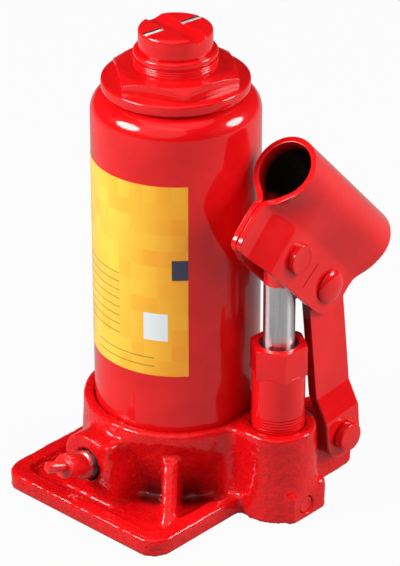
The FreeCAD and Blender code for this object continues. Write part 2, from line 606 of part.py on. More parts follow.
def skirt_section(along, tube_radius, inset, throat):
    """Cross section below the tube: walls that leave it at a tangent, then upright ears."""
    pinched = size("pinch_gap / 2 + socket_sheet") - inset
    opened = size("ear_half_width") - inset
    half_width = pinched + (opened - pinched) * pinch(along)
    graze = tube_radius - size("crease")
    leaning = math.atan2(-throat, half_width) + math.acos(graze / math.hypot(half_width, throat))
    shoulder = (graze * math.cos(leaning), graze * math.sin(leaning))
    foot = size("ear_foot") + size("socket_sheet")
    side = [shoulder, (half_width, -throat), (half_width, -foot)]
    corners = side + [(-across, height) for across, height in reversed(side)]
    points = [FreeCAD.Vector(across, along, height) for across, height in corners]
    return Part.makePolygon(points + points[:1])


def skirt(name, tube_radius, inset, throat, overrun):
    """Both ears and the walls above them as one lofted block, pinched together at the mouth."""
    pinch_end = size("pinch_length")
    steps = 6
    front = [pinch_end * step / steps for step in range(steps + 1)]
    sections = [skirt_section(along, tube_radius, inset, throat) for along in front]
    blocks = [Part.makeLoft(sections, True, False)]
    for start, end in ((pinch_end, size("socket_length") + overrun), (-overrun, 0.0)):
        if end > start:
            pair = [skirt_section(along, tube_radius, inset, throat) for along in (start, end)]
            blocks.append(Part.makeLoft(pair, True, True))
    block = doc.addObject("Part::Feature", name)
    block.Shape = blocks[0].fuse(blocks[1:])
    return block


def pin_cuts(name, along, head_radius):
    """Hole for a pin through both ears, and flats in the leaning walls for its head and its clip."""
    level = {"y": along, "z": "-socket_drop", **ALONG_X}
    return [
        cylinder("socket_%s_hole" % name, "pin_radius + seat_gap", "4 * socket_radius",
                 x="-2 * socket_radius", **level),
        cylinder("socket_%s_flat" % name, head_radius + " + side_gap", "socket_radius",
                 x="ear_half_width", **level),
        cylinder("socket_%s_clip_flat" % name, "clip_radius + side_gap", "socket_radius",
                 x="-ear_half_width - socket_radius", **level),
    ]


def handle_socket():
    """Tube for the pump handle, pressed from one sheet whose edges hang down as two ears."""
    sheet_metal = size("socket_sheet")
    outer = fuse("socket_outer", cylinder("socket_tube", "socket_radius", "socket_length", **ALONG_Y),
                 skirt("socket_skirt", size("socket_radius"), 0.0, size("throat + socket_sheet"),
                       size("ear_lead")))
    inner = fuse("socket_inner",
                 cylinder("socket_bore_cut", "socket_bore", "3 * socket_length", y="-socket_length",
                          **ALONG_Y),
                 skirt("socket_hollow", size("socket_bore"), sheet_metal, size("throat"),
                       size("ear_lead + socket_sheet")))
    blank = cut("socket_blank", outer, inner)
    side = padded("socket_side", "YZ_Plane", "4 * socket_radius", ("-ear_lead", "-ear_foot"),
                  ("ear_end", "-ear_foot"), ("ear_end", "-wall_foot"),
                  ("socket_length", "-socket_radius / 2"), ("socket_length", "2 * socket_radius"),
                  ("0", "2 * socket_radius"), ("0", "-socket_bore"), ("-ear_lead", "-wall_foot"))
    rounded(side, "ear_below_pin", straight_along("x", y="ear_end", z="-ear_foot"))
    rounded(side, "ear_front_round", straight_along("x", y="-ear_lead", z="-ear_foot"))
    for along, height in (("ear_end", "-wall_foot"), ("socket_length", "-socket_radius / 2"),
                          ("0", "-socket_bore"), ("-ear_lead", "-wall_foot")):
        rounded(side, "edge_sweep", straight_along("x", y=along, z=height))
    place(side, x="-2 * socket_radius")
    trimmed = common("socket_trimmed", blank, side)
    socket = cut("handle_socket", trimmed, *pin_cuts("plunger", "socket_reach", "pin_head_radius"),
                 *pin_cuts("link", "socket_reach + pin_pitch", "rivet_radius"))
    return place(socket, axis=(1, 0, 0), turn="-socket_tilt", x="pump_x", y="socket_y", z="socket_z")


# Pins and link
def plunger_pin():
    """Pin with a flat round head that joins the socket to the plunger."""
    pin = turned("plunger_pin", ("0", "-pin_end"), ("pin_radius", "-pin_end"),
                 ("pin_radius", "ear_half_width"),
                 ("pin_head_radius", "ear_half_width"), ("pin_head_radius",
                                                         "ear_half_width + pin_head_height"),
                 ("0", "ear_half_width + pin_head_height"))
    return place(pin, z="plunger_pin_z", **ON_PUMP, **ALONG_X)


def link_pin():
    """Pin with a low domed head that joins the socket to the link."""
    head_top = "ear_half_width + rivet_height"
    pin = turned("link_pin", ("0", "-pin_end"), ("pin_radius", "-pin_end"),
                 ("pin_radius", "ear_half_width"),
                 ("rivet_radius", "ear_half_width"), ("rivet_radius", "ear_half_width + rivet_height / 4"),
                 ("0.87 * rivet_radius", "ear_half_width + 0.6 * rivet_height"),
                 ("rivet_radius / 2", "ear_half_width + 0.9 * rivet_height"), ("0", head_top))
    return place(pin, x="pump_x", y="link_pin_y", z="link_pin_z", **ALONG_X)


def socket_pin_clips():
    """Push-on rings that keep the two socket pins in the ears."""
    rings = []
    for name, y, z in (("plunger_pin_clip", "pump_y", "plunger_pin_z"),
                       ("link_pin_clip", "link_pin_y", "link_pin_z")):
        rings.append(ring(name, "pin_radius + seat_gap", "clip_radius", "-ear_half_width - clip_thickness",
                          "-ear_half_width", x="pump_x", y=y, z=z, **ALONG_X))
    group = doc.addObject("Part::Compound", "socket_pin_clips")
    group.Links = rings
    return group


def base_pin():
    """Pin with a tall cylindrical head on which the link swings."""
    pin = turned("base_pin", ("0", "-base_pin_end"), ("base_pin_radius", "-base_pin_end"),
                 ("base_pin_radius", "base_pin_head_x"), ("base_pin_head_radius", "base_pin_head_x"),
                 ("base_pin_head_radius", "base_pin_head_x + base_pin_head_height"),
                 ("0", "base_pin_head_x + base_pin_head_height"))
    rounded(pin, "seat_gap * 20", circle_at("base_pin_head_radius",
                                            "base_pin_head_x + base_pin_head_height"))
    return place(pin, x="pump_x", y="base_pin_y", z="base_pin_z", **ALONG_X)


def link_plate():
    """Flat link with round ends, set over sideways between the ears and the outside of the lug."""
    bar = box("link_bar", "2 * link_outer_x", "2 * link_half_width", "link_length", y="-link_half_width")
    ends = [cylinder(name, "link_half_width", "2 * link_outer_x", z=height, **ALONG_X)
            for name, height in (("link_lower_end", "0"), ("link_upper_end", "link_length"))]
    strip = padded(
        "link_strip", "XZ_Plane", "4 * link_half_width",
        ("link_lower_x", "-2 * link_half_width"), ("link_outer_x", "-2 * link_half_width"),
        ("link_outer_x", "joggle_foot"), ("link_bend_x + link_thickness", "joggle_top"),
        ("link_upper_x + link_thickness", "link_length + 2 * link_half_width"),
        ("link_upper_x", "link_length + 2 * link_half_width"), ("link_bend_x", "joggle_top"),
        ("link_lower_x", "joggle_foot"))
    place(strip, y="2 * link_half_width")
    plate = common("link_blank", fuse("link_outline", bar, *ends), strip)
    holes = [cylinder("link_foot_hole", "base_pin_radius + running_gap", "4 * link_outer_x", **ALONG_X),
             cylinder("link_head_hole", "link_hole_radius", "4 * link_outer_x", z="link_length", **ALONG_X)]
    link = cut("link_plate", plate, *holes)
    return place(link, axis=(1, 0, 0), turn="link_tilt", x="pump_x", y="base_pin_y", z="base_pin_z")


# Release valve
def release_valve_screw():
    """Hand screw with a collar of thread, a neck, a turning head and a slim tip."""
    screw = turned(
        "release_valve_screw", ("0", "-valve_depth"), ("valve_neck_radius", "-valve_depth"),
        ("valve_thread_radius", "valve_neck_radius - valve_depth"),
        ("valve_thread_radius", "valve_groove_foot"),
        ("valve_thread_radius - valve_groove", "valve_groove_foot"),
        ("valve_thread_radius - valve_groove", "-valve_groove_depth"),
        ("valve_thread_radius", "-valve_groove_depth"),
        ("valve_thread_radius", "valve_collar"), ("valve_neck_radius", "valve_collar"),
        ("valve_neck_radius", "valve_head_foot"), ("valve_head_radius", "valve_head_foot"),
        ("valve_head_radius", "valve_head_top"), ("valve_tip_radius", "valve_head_top"),
        ("valve_tip_radius", "valve_end"), ("0", "valve_end"))
    rounded(screw, "valve_head_round", circle_at("valve_head_radius", "valve_head_top"))
    rounded(screw, "valve_tip_round", circle_at("valve_tip_radius", "valve_end"))
    return on_valve(screw)


def release_valve_ball():
    reach = "(valve_seat + valve_ball_radius)"
    return ball("release_valve_ball", "valve_ball_radius", x="valve_x",
                y="valve_y + %s * cos(valve_rise)" % reach,
                z="valve_z - %s * sin(valve_rise)" % reach)


# All pieces, each a node of the assembly
nodes = [
    base_casting(),
    reservoir_tube(),
    ring("tube_base_gasket", "tube_bore", "tube_radius", "tube_seat", "tube_foot"),
    ring("tube_top_gasket", "tube_mouth_radius", "tube_lip", "tube_top", "flange_foot"),
    filler_plug(),
    oil_strainer(),
    ring("ram_cylinder", "cylinder_bore", "cylinder_radius", "cylinder_foot", "cylinder_top"),
    ring("cylinder_gasket", "cylinder_bore", "cylinder_radius", "cylinder_seat", "cylinder_foot"),
    top_nut(),
    ring("top_nut_seal", "ram_bore", "ram_bore + nut_seal_width", "nut_seal_foot", "nut_seal_top"),
    ram(),
    ring("ram_cup_seal", "spigot_radius + seat_gap", "piston_radius", "cup_foot", "piston_foot"),
    ring("ram_seal_washer", "spigot_radius + seat_gap", "washer_radius", "washer_foot", "cup_foot"),
    ram_seal_nut(),
    extension_screw(),
    pump_cylinder(),
    ring("pump_cylinder_gasket", "pump_well_radius", "pump_radius", "pump_seat", "pump_foot", **ON_PUMP),
    ring("pump_gland_seal", "plunger_bore", "gland_radius - seat_gap", "gland_foot",
         "gland_foot + gland_height",
         **ON_PUMP),
    pump_plunger(),
    ring("plunger_seal", "plunger_radius - plunger_groove + seat_gap", "plunger_radius + seat_gap",
         "plunger_groove_z",
         "plunger_groove_z + plunger_groove_height", **ON_PUMP),
    ball("suction_ball", "suction_ball_radius",
         z="pump_well_floor + sqrt(suction_ball_radius ^ 2 - port_radius ^ 2) + seat_gap", **ON_PUMP),
    ball("delivery_ball", "delivery_ball_radius", y="delivery_y",
         z="delivery_floor + sqrt(delivery_ball_radius ^ 2 - port_radius ^ 2) + seat_gap"),
    ball("overload_ball", "overload_ball_radius", x="overload_x + overload_ball_radius", y="pump_y",
         z="overload_z"),
    overload_spring(),
    overload_plug(),
    handle_socket(),
    plunger_pin(),
    link_pin(),
    socket_pin_clips(),
    link_plate(),
    base_pin(),
    ring("base_pin_clip", "base_pin_radius + seat_gap", "base_clip_radius",
         "-lug_half_width - clip_thickness",
         "-lug_half_width", x="pump_x", y="base_pin_y", z="base_pin_z", **ALONG_X),
    release_valve_screw(),
    on_valve(ring("release_valve_seal", "valve_thread_radius - valve_groove + seat_gap",
                  "valve_thread_radius + seat_gap", "valve_groove_foot", "-valve_groove_depth")),
    release_valve_ball(),
]
doc.recompute()

# Nothing is written unless every object is whole
for item in doc.Objects:
    if {"Invalid", "Error"} & set(item.State):
        raise RuntimeError("%s could not be built" % item.Name)
for node in nodes:
    if node.Shape.isNull() or not node.Shape.isValid() or not node.Shape.Solids:
        raise RuntimeError("%s has no sound solid" % node.Label)

os.makedirs("parts", exist_ok=True)
for node in nodes:
    node.Shape.exportStep("parts/%s.step" % node.Label)
    print("%-22s %9.1f mm3 %3d solids" % (node.Label, node.Shape.Volume, len(node.Shape.Solids)))
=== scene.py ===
# %% [markdown]
# # A hydraulic bottle jack
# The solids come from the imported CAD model: they fix every size, every place and every joint. This lesson
# dresses them. Simple turned pieces are drawn again with soft painted edges, the rough casting is
# remeshed, the pressed handle socket is drawn as one bent sheet, and every surface gets a finish made of
# shader nodes. Sizes are written in millimetres and multiplied by MM, because Blender works in metres.
# All pieces stand in the frame of the solids.

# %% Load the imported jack
import math

import bpy
from mathutils import Matrix, Vector


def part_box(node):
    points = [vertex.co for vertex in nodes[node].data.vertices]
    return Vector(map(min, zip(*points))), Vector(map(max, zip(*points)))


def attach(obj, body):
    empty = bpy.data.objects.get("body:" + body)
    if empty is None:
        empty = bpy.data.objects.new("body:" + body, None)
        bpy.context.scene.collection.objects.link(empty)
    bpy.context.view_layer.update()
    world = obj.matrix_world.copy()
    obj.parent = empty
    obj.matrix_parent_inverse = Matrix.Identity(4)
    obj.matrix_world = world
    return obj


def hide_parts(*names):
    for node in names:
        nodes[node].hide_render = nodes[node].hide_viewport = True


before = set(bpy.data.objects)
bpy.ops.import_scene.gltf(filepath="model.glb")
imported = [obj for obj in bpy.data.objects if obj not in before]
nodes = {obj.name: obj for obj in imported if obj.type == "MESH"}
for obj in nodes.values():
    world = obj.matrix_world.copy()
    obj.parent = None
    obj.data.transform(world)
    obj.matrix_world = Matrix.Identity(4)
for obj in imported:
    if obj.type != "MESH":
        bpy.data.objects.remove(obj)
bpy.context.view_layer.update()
MM = 0.001
print("solids loaded:", len(nodes))

# %% [markdown]
# ## Camera
# The picture was taken from a little above, in front of the pump side, with a long lens. The values were
# fitted to the outlines of the plate, the tube and the saddle. The camera aims slightly beside the jack's
# middle, so the lens needs no shift.

# %% Camera
AZIMUTH, ELEVATION, ROLL = math.radians(43.37), math.radians(27.96), math.radians(-0.3)
DISTANCE, FOCAL_PIXELS = 1.15552, 3183.3
PICTURE_HEIGHT, SENSOR_HEIGHT = 566, 36
AIM_RIGHT, AIM_DOWN = 23.3 / FOCAL_PIXELS, 29.4 / FOCAL_PIXELS
AIM_HEIGHT = 0.090


def camera_at_photo():
    back = Vector((math.sin(AZIMUTH) * math.cos(ELEVATION), -math.cos(AZIMUTH) * math.cos(ELEVATION),
                   math.sin(ELEVATION)))
    right = Vector((math.cos(AZIMUTH), math.sin(AZIMUTH), 0))
    up = back.cross(right)
    tilt = Matrix.Rotation(ROLL, 3, back)
    right, up = tilt @ right, tilt @ up
    aim = -back + right * AIM_RIGHT - up * AIM_DOWN
    lens = bpy.data.cameras.new("photo_camera")
    lens.sensor_fit, lens.sensor_height = "VERTICAL", SENSOR_HEIGHT
    lens.lens = FOCAL_PIXELS * SENSOR_HEIGHT / PICTURE_HEIGHT
    camera = bpy.data.objects.new("photo_camera", lens)
    bpy.context.scene.collection.objects.link(camera)
    z_axis = -aim.normalized()
    x_axis = up.cross(z_axis).normalized()
    y_axis = z_axis.cross(x_axis)
    turn = Matrix((x_axis, y_axis, z_axis)).transposed()
    place = Vector((0, 0, AIM_HEIGHT)) + back * DISTANCE
    camera.matrix_world = Matrix.Translation(place) @ turn.to_4x4()
    bpy.context.scene.camera = camera
    return camera


camera = camera_at_photo()
bpy.context.scene.view_settings.view_transform = "Standard"
print("lens %.1f mm" % camera.data.lens)

# %% [markdown]
# ## Light and floor
# The jack stands in a white photo studio. The world is plain white to the eye and to mirrors, and a weak
# grey as a light. Two soft boxes give the form, the stronger one at the left front and the other one at
# the right rear. A very wide one in front, one at the right that no surface mirrors, and a weak one
# overhead fill the shadows.

# %% World
WHITE = (1, 1, 1, 1)
AMBIENT = 0.09


def light_path_white(tree, eye, mirror):
    """How white a thing shows to the eye, and to reflections and glass, as the factor of a shader mix."""
    path = tree.nodes.new("ShaderNodeLightPath")
    shares = []
    for ray, share in (("Is Camera Ray", eye), ("Is Glossy Ray", mirror), ("Is Transmission Ray", mirror)):
        part = tree.nodes.new("ShaderNodeMath")
        part.operation = "MULTIPLY"
        part.inputs[1].default_value = share
        tree.links.new(path.outputs[ray], part.inputs[0])
        shares.append(part.outputs[0])
    most = shares[0]
    for share in shares[1:]:
        larger = tree.nodes.new("ShaderNodeMath")
        larger.operation = "MAXIMUM"
        tree.links.new(most, larger.inputs[0])
        tree.links.new(share, larger.inputs[1])
        most = larger.outputs[0]
    return most


def show_white(tree, plain, white, end, eye, mirror):
    """End a node tree with two shaders: the plain one acts as light, the white one is what is seen."""
    mix = tree.nodes.new("ShaderNodeMixShader")
    tree.links.new(light_path_white(tree, eye, mirror), mix.inputs[0])
    tree.links.new(plain.outputs[0], mix.inputs[1])
    tree.links.new(white.outputs[0], mix.inputs[2])
    tree.links.new(mix.outputs[0], end.inputs[0])


def white_world():
    world = bpy.data.worlds.new("studio")
    bpy.context.scene.world = world
    world.use_nodes = True
    tree = world.node_tree
    tree.nodes.clear()
    soft = tree.nodes.new("ShaderNodeBackground")
    soft.inputs["Strength"].default_value = AMBIENT
    soft.inputs["Color"].default_value = WHITE
    white = tree.nodes.new("ShaderNodeBackground")
    white.inputs["Color"].default_value = WHITE
    show_white(tree, soft, white, tree.nodes.new("ShaderNodeOutputWorld"), eye=1.0, mirror=1.0)
    return world


print("world:", white_world().name)

# %% Soft boxes
MIDDLE = (0, 0, 0.09)
# place, width and height in metres, and watts
SOFT_BOXES = {
    "left_box": ((-0.45, -0.80, 0.69), 0.62, 0.50, 15),
    "right_box": ((0.74, 0.68, 0.60), 0.50, 0.50, 10),
    "front_box": ((0.47, -1.41, 1.43), 2.6, 2.2, 8),
    "side_box": ((1.3, 0.25, 0.5), 0.8, 0.8, 6),
    "top_box": ((0.1, -0.1, 1.15), 1.2, 1.2, 2),
}
NOT_MIRRORED = ["side_box"]


def soft_box(name, place, width, height, watts):
    lamp = bpy.data.lights.new(name, "AREA")
    lamp.shape, lamp.size, lamp.size_y, lamp.energy = "ELLIPSE", width, height, watts
    box = bpy.data.objects.new(name, lamp)
    bpy.context.scene.collection.objects.link(box)
    box.location = place
    box.rotation_euler = (Vector(MIDDLE) - Vector(place)).to_track_quat("-Z", "Y").to_euler()
    box.visible_glossy = name not in NOT_MIRRORED


for name, values in SOFT_BOXES.items():
    soft_box(name, *values)
print("soft boxes:", len(SOFT_BOXES))

# %% [markdown]
# The floor shows white to the eye and keeps the soft shadow. The upright faces mirror it as a paler grey,
# as they do a real floor round a jack. A tent of dark cloth, seen by reflections alone, hangs before the
# white: the faces that look up mirror the cloth, and so they keep a full red instead of a pink haze.

# %% Floor and tent
FLOOR_SIZE, FLOOR_HEIGHT, FLOOR_GREY = 6, -0.0002, 0.26
FLOOR_TO_EYE, FLOOR_TO_MIRROR = 0.96, 0.15
TENT_RADIUS, CLOTH_GREY, CLOTH_ROUGHNESS = 2.4, 0.05, 0.9


def start_mesh(primitive, name, **settings):
    """Add a primitive as the only selected object, and name it."""
    bpy.ops.object.select_all(action="DESELECT")
    primitive(**settings)
    piece = bpy.context.object
    piece.name = name
    return piece


def studio_floor():
    floor = start_mesh(bpy.ops.mesh.primitive_plane_add, "studio_floor", size=FLOOR_SIZE,
                       location=(0, 0, FLOOR_HEIGHT))
    paper = bpy.data.materials.new("floor_paper")
    paper.use_nodes = True
    tree = paper.node_tree
    tree.nodes.clear()
    matte = tree.nodes.new("ShaderNodeBsdfDiffuse")
    matte.inputs["Color"].default_value = (FLOOR_GREY, FLOOR_GREY, FLOOR_GREY, 1)
    glow = tree.nodes.new("ShaderNodeEmission")
    end = tree.nodes.new("ShaderNodeOutputMaterial")
    show_white(tree, matte, glow, end, FLOOR_TO_EYE, FLOOR_TO_MIRROR)
    floor.data.materials.append(paper)


def dark_tent():
    """A dome of dark cloth over the set, seen by reflections alone."""
    tent = start_mesh(bpy.ops.mesh.primitive_uv_sphere_add, "dark_tent", segments=32, ring_count=16,
                      radius=TENT_RADIUS)
    cloth = bpy.data.materials.new("black_cloth")
    cloth.use_nodes = True
    shader = cloth.node_tree.nodes["Principled BSDF"]
    shader.inputs["Base Color"].default_value = (CLOTH_GREY, CLOTH_GREY, CLOTH_GREY, 1)
    shader.inputs["Roughness"].default_value = CLOTH_ROUGHNESS
    tent.data.materials.append(cloth)
    tent.visible_camera = False
    tent.visible_diffuse = False
    tent.visible_transmission = False
    tent.visible_shadow = False


studio_floor()
dark_tent()
print("stage: floor and tent")

# %% [markdown]
# ## Tools for shaping
# Most of a jack is turned on a lathe, so one helper pulls a single point along a profile by extrusion and
# spins the line round the upright axis. An operator acts on all that is selected, so a helper first takes
# one object alone. The others open a mesh for editing, apply one modifier, and shade the faces smoothly
# up to an angle, past which an edge stays crisp.

# %% Take, edit and apply
SMOOTH_ANGLE = 38


def take(piece):
    """Select this object alone, so that an operator acts on nothing else."""
    bpy.ops.object.select_all(action="DESELECT")
    piece.select_set(True)
    bpy.context.view_layer.objects.active = piece


def open_mesh(piece):
    """Enter edit mode with the whole mesh selected."""
    take(piece)
    bpy.ops.object.mode_set(mode="EDIT")
    bpy.ops.mesh.select_all(action="SELECT")


def close_mesh():
    bpy.ops.object.mode_set(mode="OBJECT")


def apply_modifier(piece, kind, **settings):
    take(piece)
    modifier = piece.modifiers.new(kind.lower(), kind)
    for name, value in settings.items():
        setattr(modifier, name, value)
    bpy.ops.object.modifier_apply(modifier=modifier.name)


def smooth(piece, angle=SMOOTH_ANGLE):
    take(piece)
    bpy.ops.object.shade_smooth_by_angle(angle=math.radians(angle))


print("edges stay crisp past", SMOOTH_ANGLE, "degrees")

# %% Turned profiles
LATHE_STEPS = 72


def lathe(name, profile, steps=LATHE_STEPS):
    """Pull a point along (radius, height) in millimetres and spin the line round the Z axis."""
    piece = start_mesh(bpy.ops.mesh.primitive_plane_add, name, size=MM)
    open_mesh(piece)
    bpy.ops.mesh.merge(type="CENTER")
    bpy.ops.transform.translate(value=(profile[0][0] * MM, 0, profile[0][1] * MM))
    for before, after in zip(profile, profile[1:]):
        pull = ((after[0] - before[0]) * MM, 0, (after[1] - before[1]) * MM)
        bpy.ops.mesh.extrude_region_move(TRANSFORM_OT_translate={"value": pull})
    bpy.ops.mesh.select_all(action="SELECT")
    bpy.ops.mesh.spin(steps=steps, angle=2 * math.pi, center=(0, 0, 0), axis=(0, 0, 1))
    bpy.ops.mesh.select_all(action="SELECT")
    bpy.ops.mesh.remove_doubles(threshold=2e-6)
    bpy.ops.mesh.normals_make_consistent(inside=False)
    close_mesh()
    return piece


def arc(centre, radius, start, end, steps):
    """Points on an arc in the profile's plane, angles in degrees from the outward direction."""
    angles = [math.radians(start + (end - start) * step / steps) for step in range(steps + 1)]
    return [(centre[0] + radius * math.cos(a), centre[1] + radius * math.sin(a)) for a in angles]


def ring(inner, outer, foot, top):
    """Closed profile of a plain ring."""
    return [(inner, foot), (outer, foot), (outer, top), (inner, top), (inner, foot)]


def repeat(points, start, pitch, count):
    """The (radius, height) points of one small ring, again and again at a pitch."""
    return [(radius, start + turn * pitch + rise) for turn in range(count) for radius, rise in points]


print("a turned piece has", LATHE_STEPS, "sides unless it says otherwise")

# %% [markdown]
# The outer sizes and places of a piece come from its solid. Two helpers read them from the frame, so that
# a piece drawn again can't drift away from the solid that it stands for.

# %% Measures from the solids
def box_of(node):
    """Lowest and highest corner of a solid, in millimetres to the nearest hundredth."""
    return [[round(value / MM, 2) for value in corner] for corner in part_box(node)]


def middle_of(node):
    """Middle of a solid's box, in millimetres to the nearest hundredth."""
    low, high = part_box(node)
    return [round(value / MM, 2) for value in (low + high) / 2]


PUMP_X, PUMP_Y = middle_of("pump_plunger")[:2]
print("pump axis at %.1f, %.1f mm" % (PUMP_X, PUMP_Y))

# %% [markdown]
# Bars and blocks serve as cutting tools and as flats for spanners. A finished piece sits at the origin
# with its place written into its mesh, so `settle` turns it, moves it and applies both. Thick paint
# rounds every edge, which is a bevel here.

# %% Bars, blocks and edges
EDGE_SEGMENTS = 3


def settle(piece, at=(0, 0, 0), turn=(0, 0, 0)):
    """Turn a piece in degrees, move it in millimetres and write both into its mesh."""
    take(piece)
    piece.rotation_euler = [start + math.radians(angle) for start, angle in zip(piece.rotation_euler, turn)]
    piece.location = piece.location + Vector(at) * MM
    bpy.ops.object.transform_apply(location=True, rotation=True, scale=True)
    return piece


def prism(name, sides, radius, foot, top, angle):
    """Upright bar with flat sides, one corner at the given angle."""
    bar = start_mesh(bpy.ops.mesh.primitive_cylinder_add, name, vertices=sides, radius=radius * MM,
                     depth=(top - foot) * MM, location=(0, 0, (foot + top) / 2 * MM),
                     rotation=(0, 0, math.radians(angle - 90)))
    return settle(bar)


def block(name, size, at, turn=(0, 0, 0)):
    """A block with its size and its middle in millimetres, and its turn in degrees."""
    piece = start_mesh(bpy.ops.mesh.primitive_cube_add, name, size=MM, location=[value * MM for value in at])
    piece.scale = size
    return settle(piece, turn=turn)


def cut_with(piece, tool, operation="DIFFERENCE"):
    apply_modifier(piece, "BOOLEAN", operation=operation, object=tool, solver="EXACT")
    bpy.data.objects.remove(tool)
    return piece


def soft_edges(piece, width, segments=EDGE_SEGMENTS, angle=30):
    """Round every edge sharper than the angle, as a thick coat of paint does, and shade it smoothly."""
    apply_modifier(piece, "BEVEL", width=width * MM, segments=segments, limit_method="ANGLE",
                   angle_limit=math.radians(angle))
    smooth(piece)
    return piece


print("a painted edge has", EDGE_SEGMENTS, "facets unless it says otherwise")

# %% [markdown]
# A few pieces start from their solid. Its triangles are loose, so a copy of it is merged first. At the
# end each piece is dressed: it gets its finish, the moving body that carries it, and the solid that it
# stands for.

# %% Join, copy and dress
def join(piece, *others):
    take(piece)
    for other in others:
        other.select_set(True)
    bpy.ops.object.join()
    return piece


def copy_of(node, name):
    """A copy of a solid with its loose triangles merged, to shape further."""
    piece = bpy.data.objects.new(name, nodes[node].data.copy())
    bpy.context.scene.collection.objects.link(piece)
    piece.data.materials.clear()
    open_mesh(piece)
    bpy.ops.mesh.remove_doubles(threshold=1e-6)
    close_mesh()
    return piece


def dress(piece, finish, body, slot, *stands_for):
    """Give a finished piece its material, its moving body and the solids that it stands for."""
    piece.data.materials.clear()
    piece.data.materials.append(finish)
    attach(piece, body)
    if stands_for:
        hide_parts(*stands_for)
    piece.data.calc_loop_triangles()
    print("%s: %d triangles" % (piece.name, len(piece.data.loop_triangles)))


print("solids that a piece can stand for:", len(nodes))

# %% [markdown]
# ## Tools for finishes
# A finish is a tree of shader nodes. These helpers place one node, link or fill its inputs, and do sums
# on sockets, so that a finish further down reads like a recipe. Patterns use the Object coordinates,
# which are the frame's own metres, because all pieces sit at the origin.

# %% Nodes and sums
def feed(tree, target, value):
    """Link a socket to an input, or write a plain value into it."""
    if isinstance(value, bpy.types.NodeSocket):
        tree.links.new(value, target)
    else:
        target.default_value = value


def place_node(tree, kind, settings=(), **values):
    """Add one shader node, set its options, and fill its inputs by name."""
    node = tree.nodes.new("ShaderNode" + kind)
    for name, value in dict(settings).items():
        setattr(node, name, value)
    for name, value in values.items():
        feed(tree, node.inputs[name.replace("_", " ")], value)
    return node


def sums(tree, operation, first, second=0.0, third=0.0):
    """One Math node on sockets or numbers."""
    node = place_node(tree, "Math", {"operation": operation})
    for number, value in enumerate((first, second, third)):
        feed(tree, node.inputs[number], value)
    return node.outputs[0]


def product(tree, first, *others):
    for other in others:
        first = sums(tree, "MULTIPLY", first, other)
    return first


def distance(tree, first, second):
    """Length of the long side over two short sides."""
    return sums(tree, "SQRT", sums(tree, "MULTIPLY_ADD", first, first, product(tree, second, second)))


def ramp(tree, value, low, high, start=0.0, end=1.0):
    """Straight slope of a value from one level to another, clamped at both ends."""
    return place_node(tree, "MapRange", Value=value, From_Min=low, From_Max=high, To_Min=start,
                      To_Max=end).outputs[0]


def mask_between(tree, value, none, full):
    """Mask of a length: 0 at one level and 1 at the other, both in millimetres."""
    return ramp(tree, value, none * MM, full * MM)


def own_place(tree):
    """Where a point is, in the piece's own coordinates."""
    return place_node(tree, "TexCoord").outputs["Object"]


def split(tree, vector):
    """X, Y and Z of a vector."""
    parts = place_node(tree, "SeparateXYZ", Vector=vector).outputs
    return parts["X"], parts["Y"], parts["Z"]


print("node tools:", place_node.__name__, sums.__name__, ramp.__name__)

# %% Colours, groups and bumps
def mix_colour(tree, factor, first, second):
    node = place_node(tree, "Mix", {"data_type": "RGBA"})
    for number, value in ((0, factor), (6, first), (7, second)):
        feed(tree, node.inputs[number], value)
    return node.outputs[2]


def tint(tree, shader, mask, colour):
    """Lay one more colour over the base colour where the mask is 1."""
    below = shader.inputs["Base Color"].links[0].from_socket
    tree.links.new(mix_colour(tree, mask, below, colour), shader.inputs["Base Color"])


def new_group(name, inputs, outputs):
    """An empty node group with named sockets, and its two end nodes."""
    group = bpy.data.node_groups.new(name, "ShaderNodeTree")
    for label, kind, start in inputs:
        made = group.interface.new_socket(label, in_out="INPUT", socket_type="NodeSocket" + kind)
        made.default_value = start
    for label, kind in outputs:
        group.interface.new_socket(label, in_out="OUTPUT", socket_type="NodeSocket" + kind)
    return group, group.nodes.new("NodeGroupInput"), group.nodes.new("NodeGroupOutput")


def use_group(tree, group, **values):
    return place_node(tree, "Group", {"node_tree": group}, **values)


def bump(tree, shader, height, depth):
    """Raise the surface by a height map, with the depth in millimetres."""
    node = place_node(tree, "Bump", Strength=1.0, Distance=depth * MM, Height=height)
    tree.links.new(node.outputs["Normal"], shader.inputs["Normal"])


def new_finish(name):
    """A material with only its output and a Principled shader."""
    finish = bpy.data.materials.new(name)
    finish.use_nodes = True
    tree = finish.node_tree
    return finish, tree, tree.nodes["Principled BSDF"]


print("finish tools:", mix_colour.__name__, tint.__name__, bump.__name__)

# %% [markdown]
# ## Red enamel
# The jack is sprayed with thick gloss enamel. Up close it has a faint orange peel, and its red is a
# little deeper where the coat is thick. A node group holds that film, and each red finish sets its own
# scale. The gloss is a clear coat over the colour, because enamel is a pigment under a smooth skin.

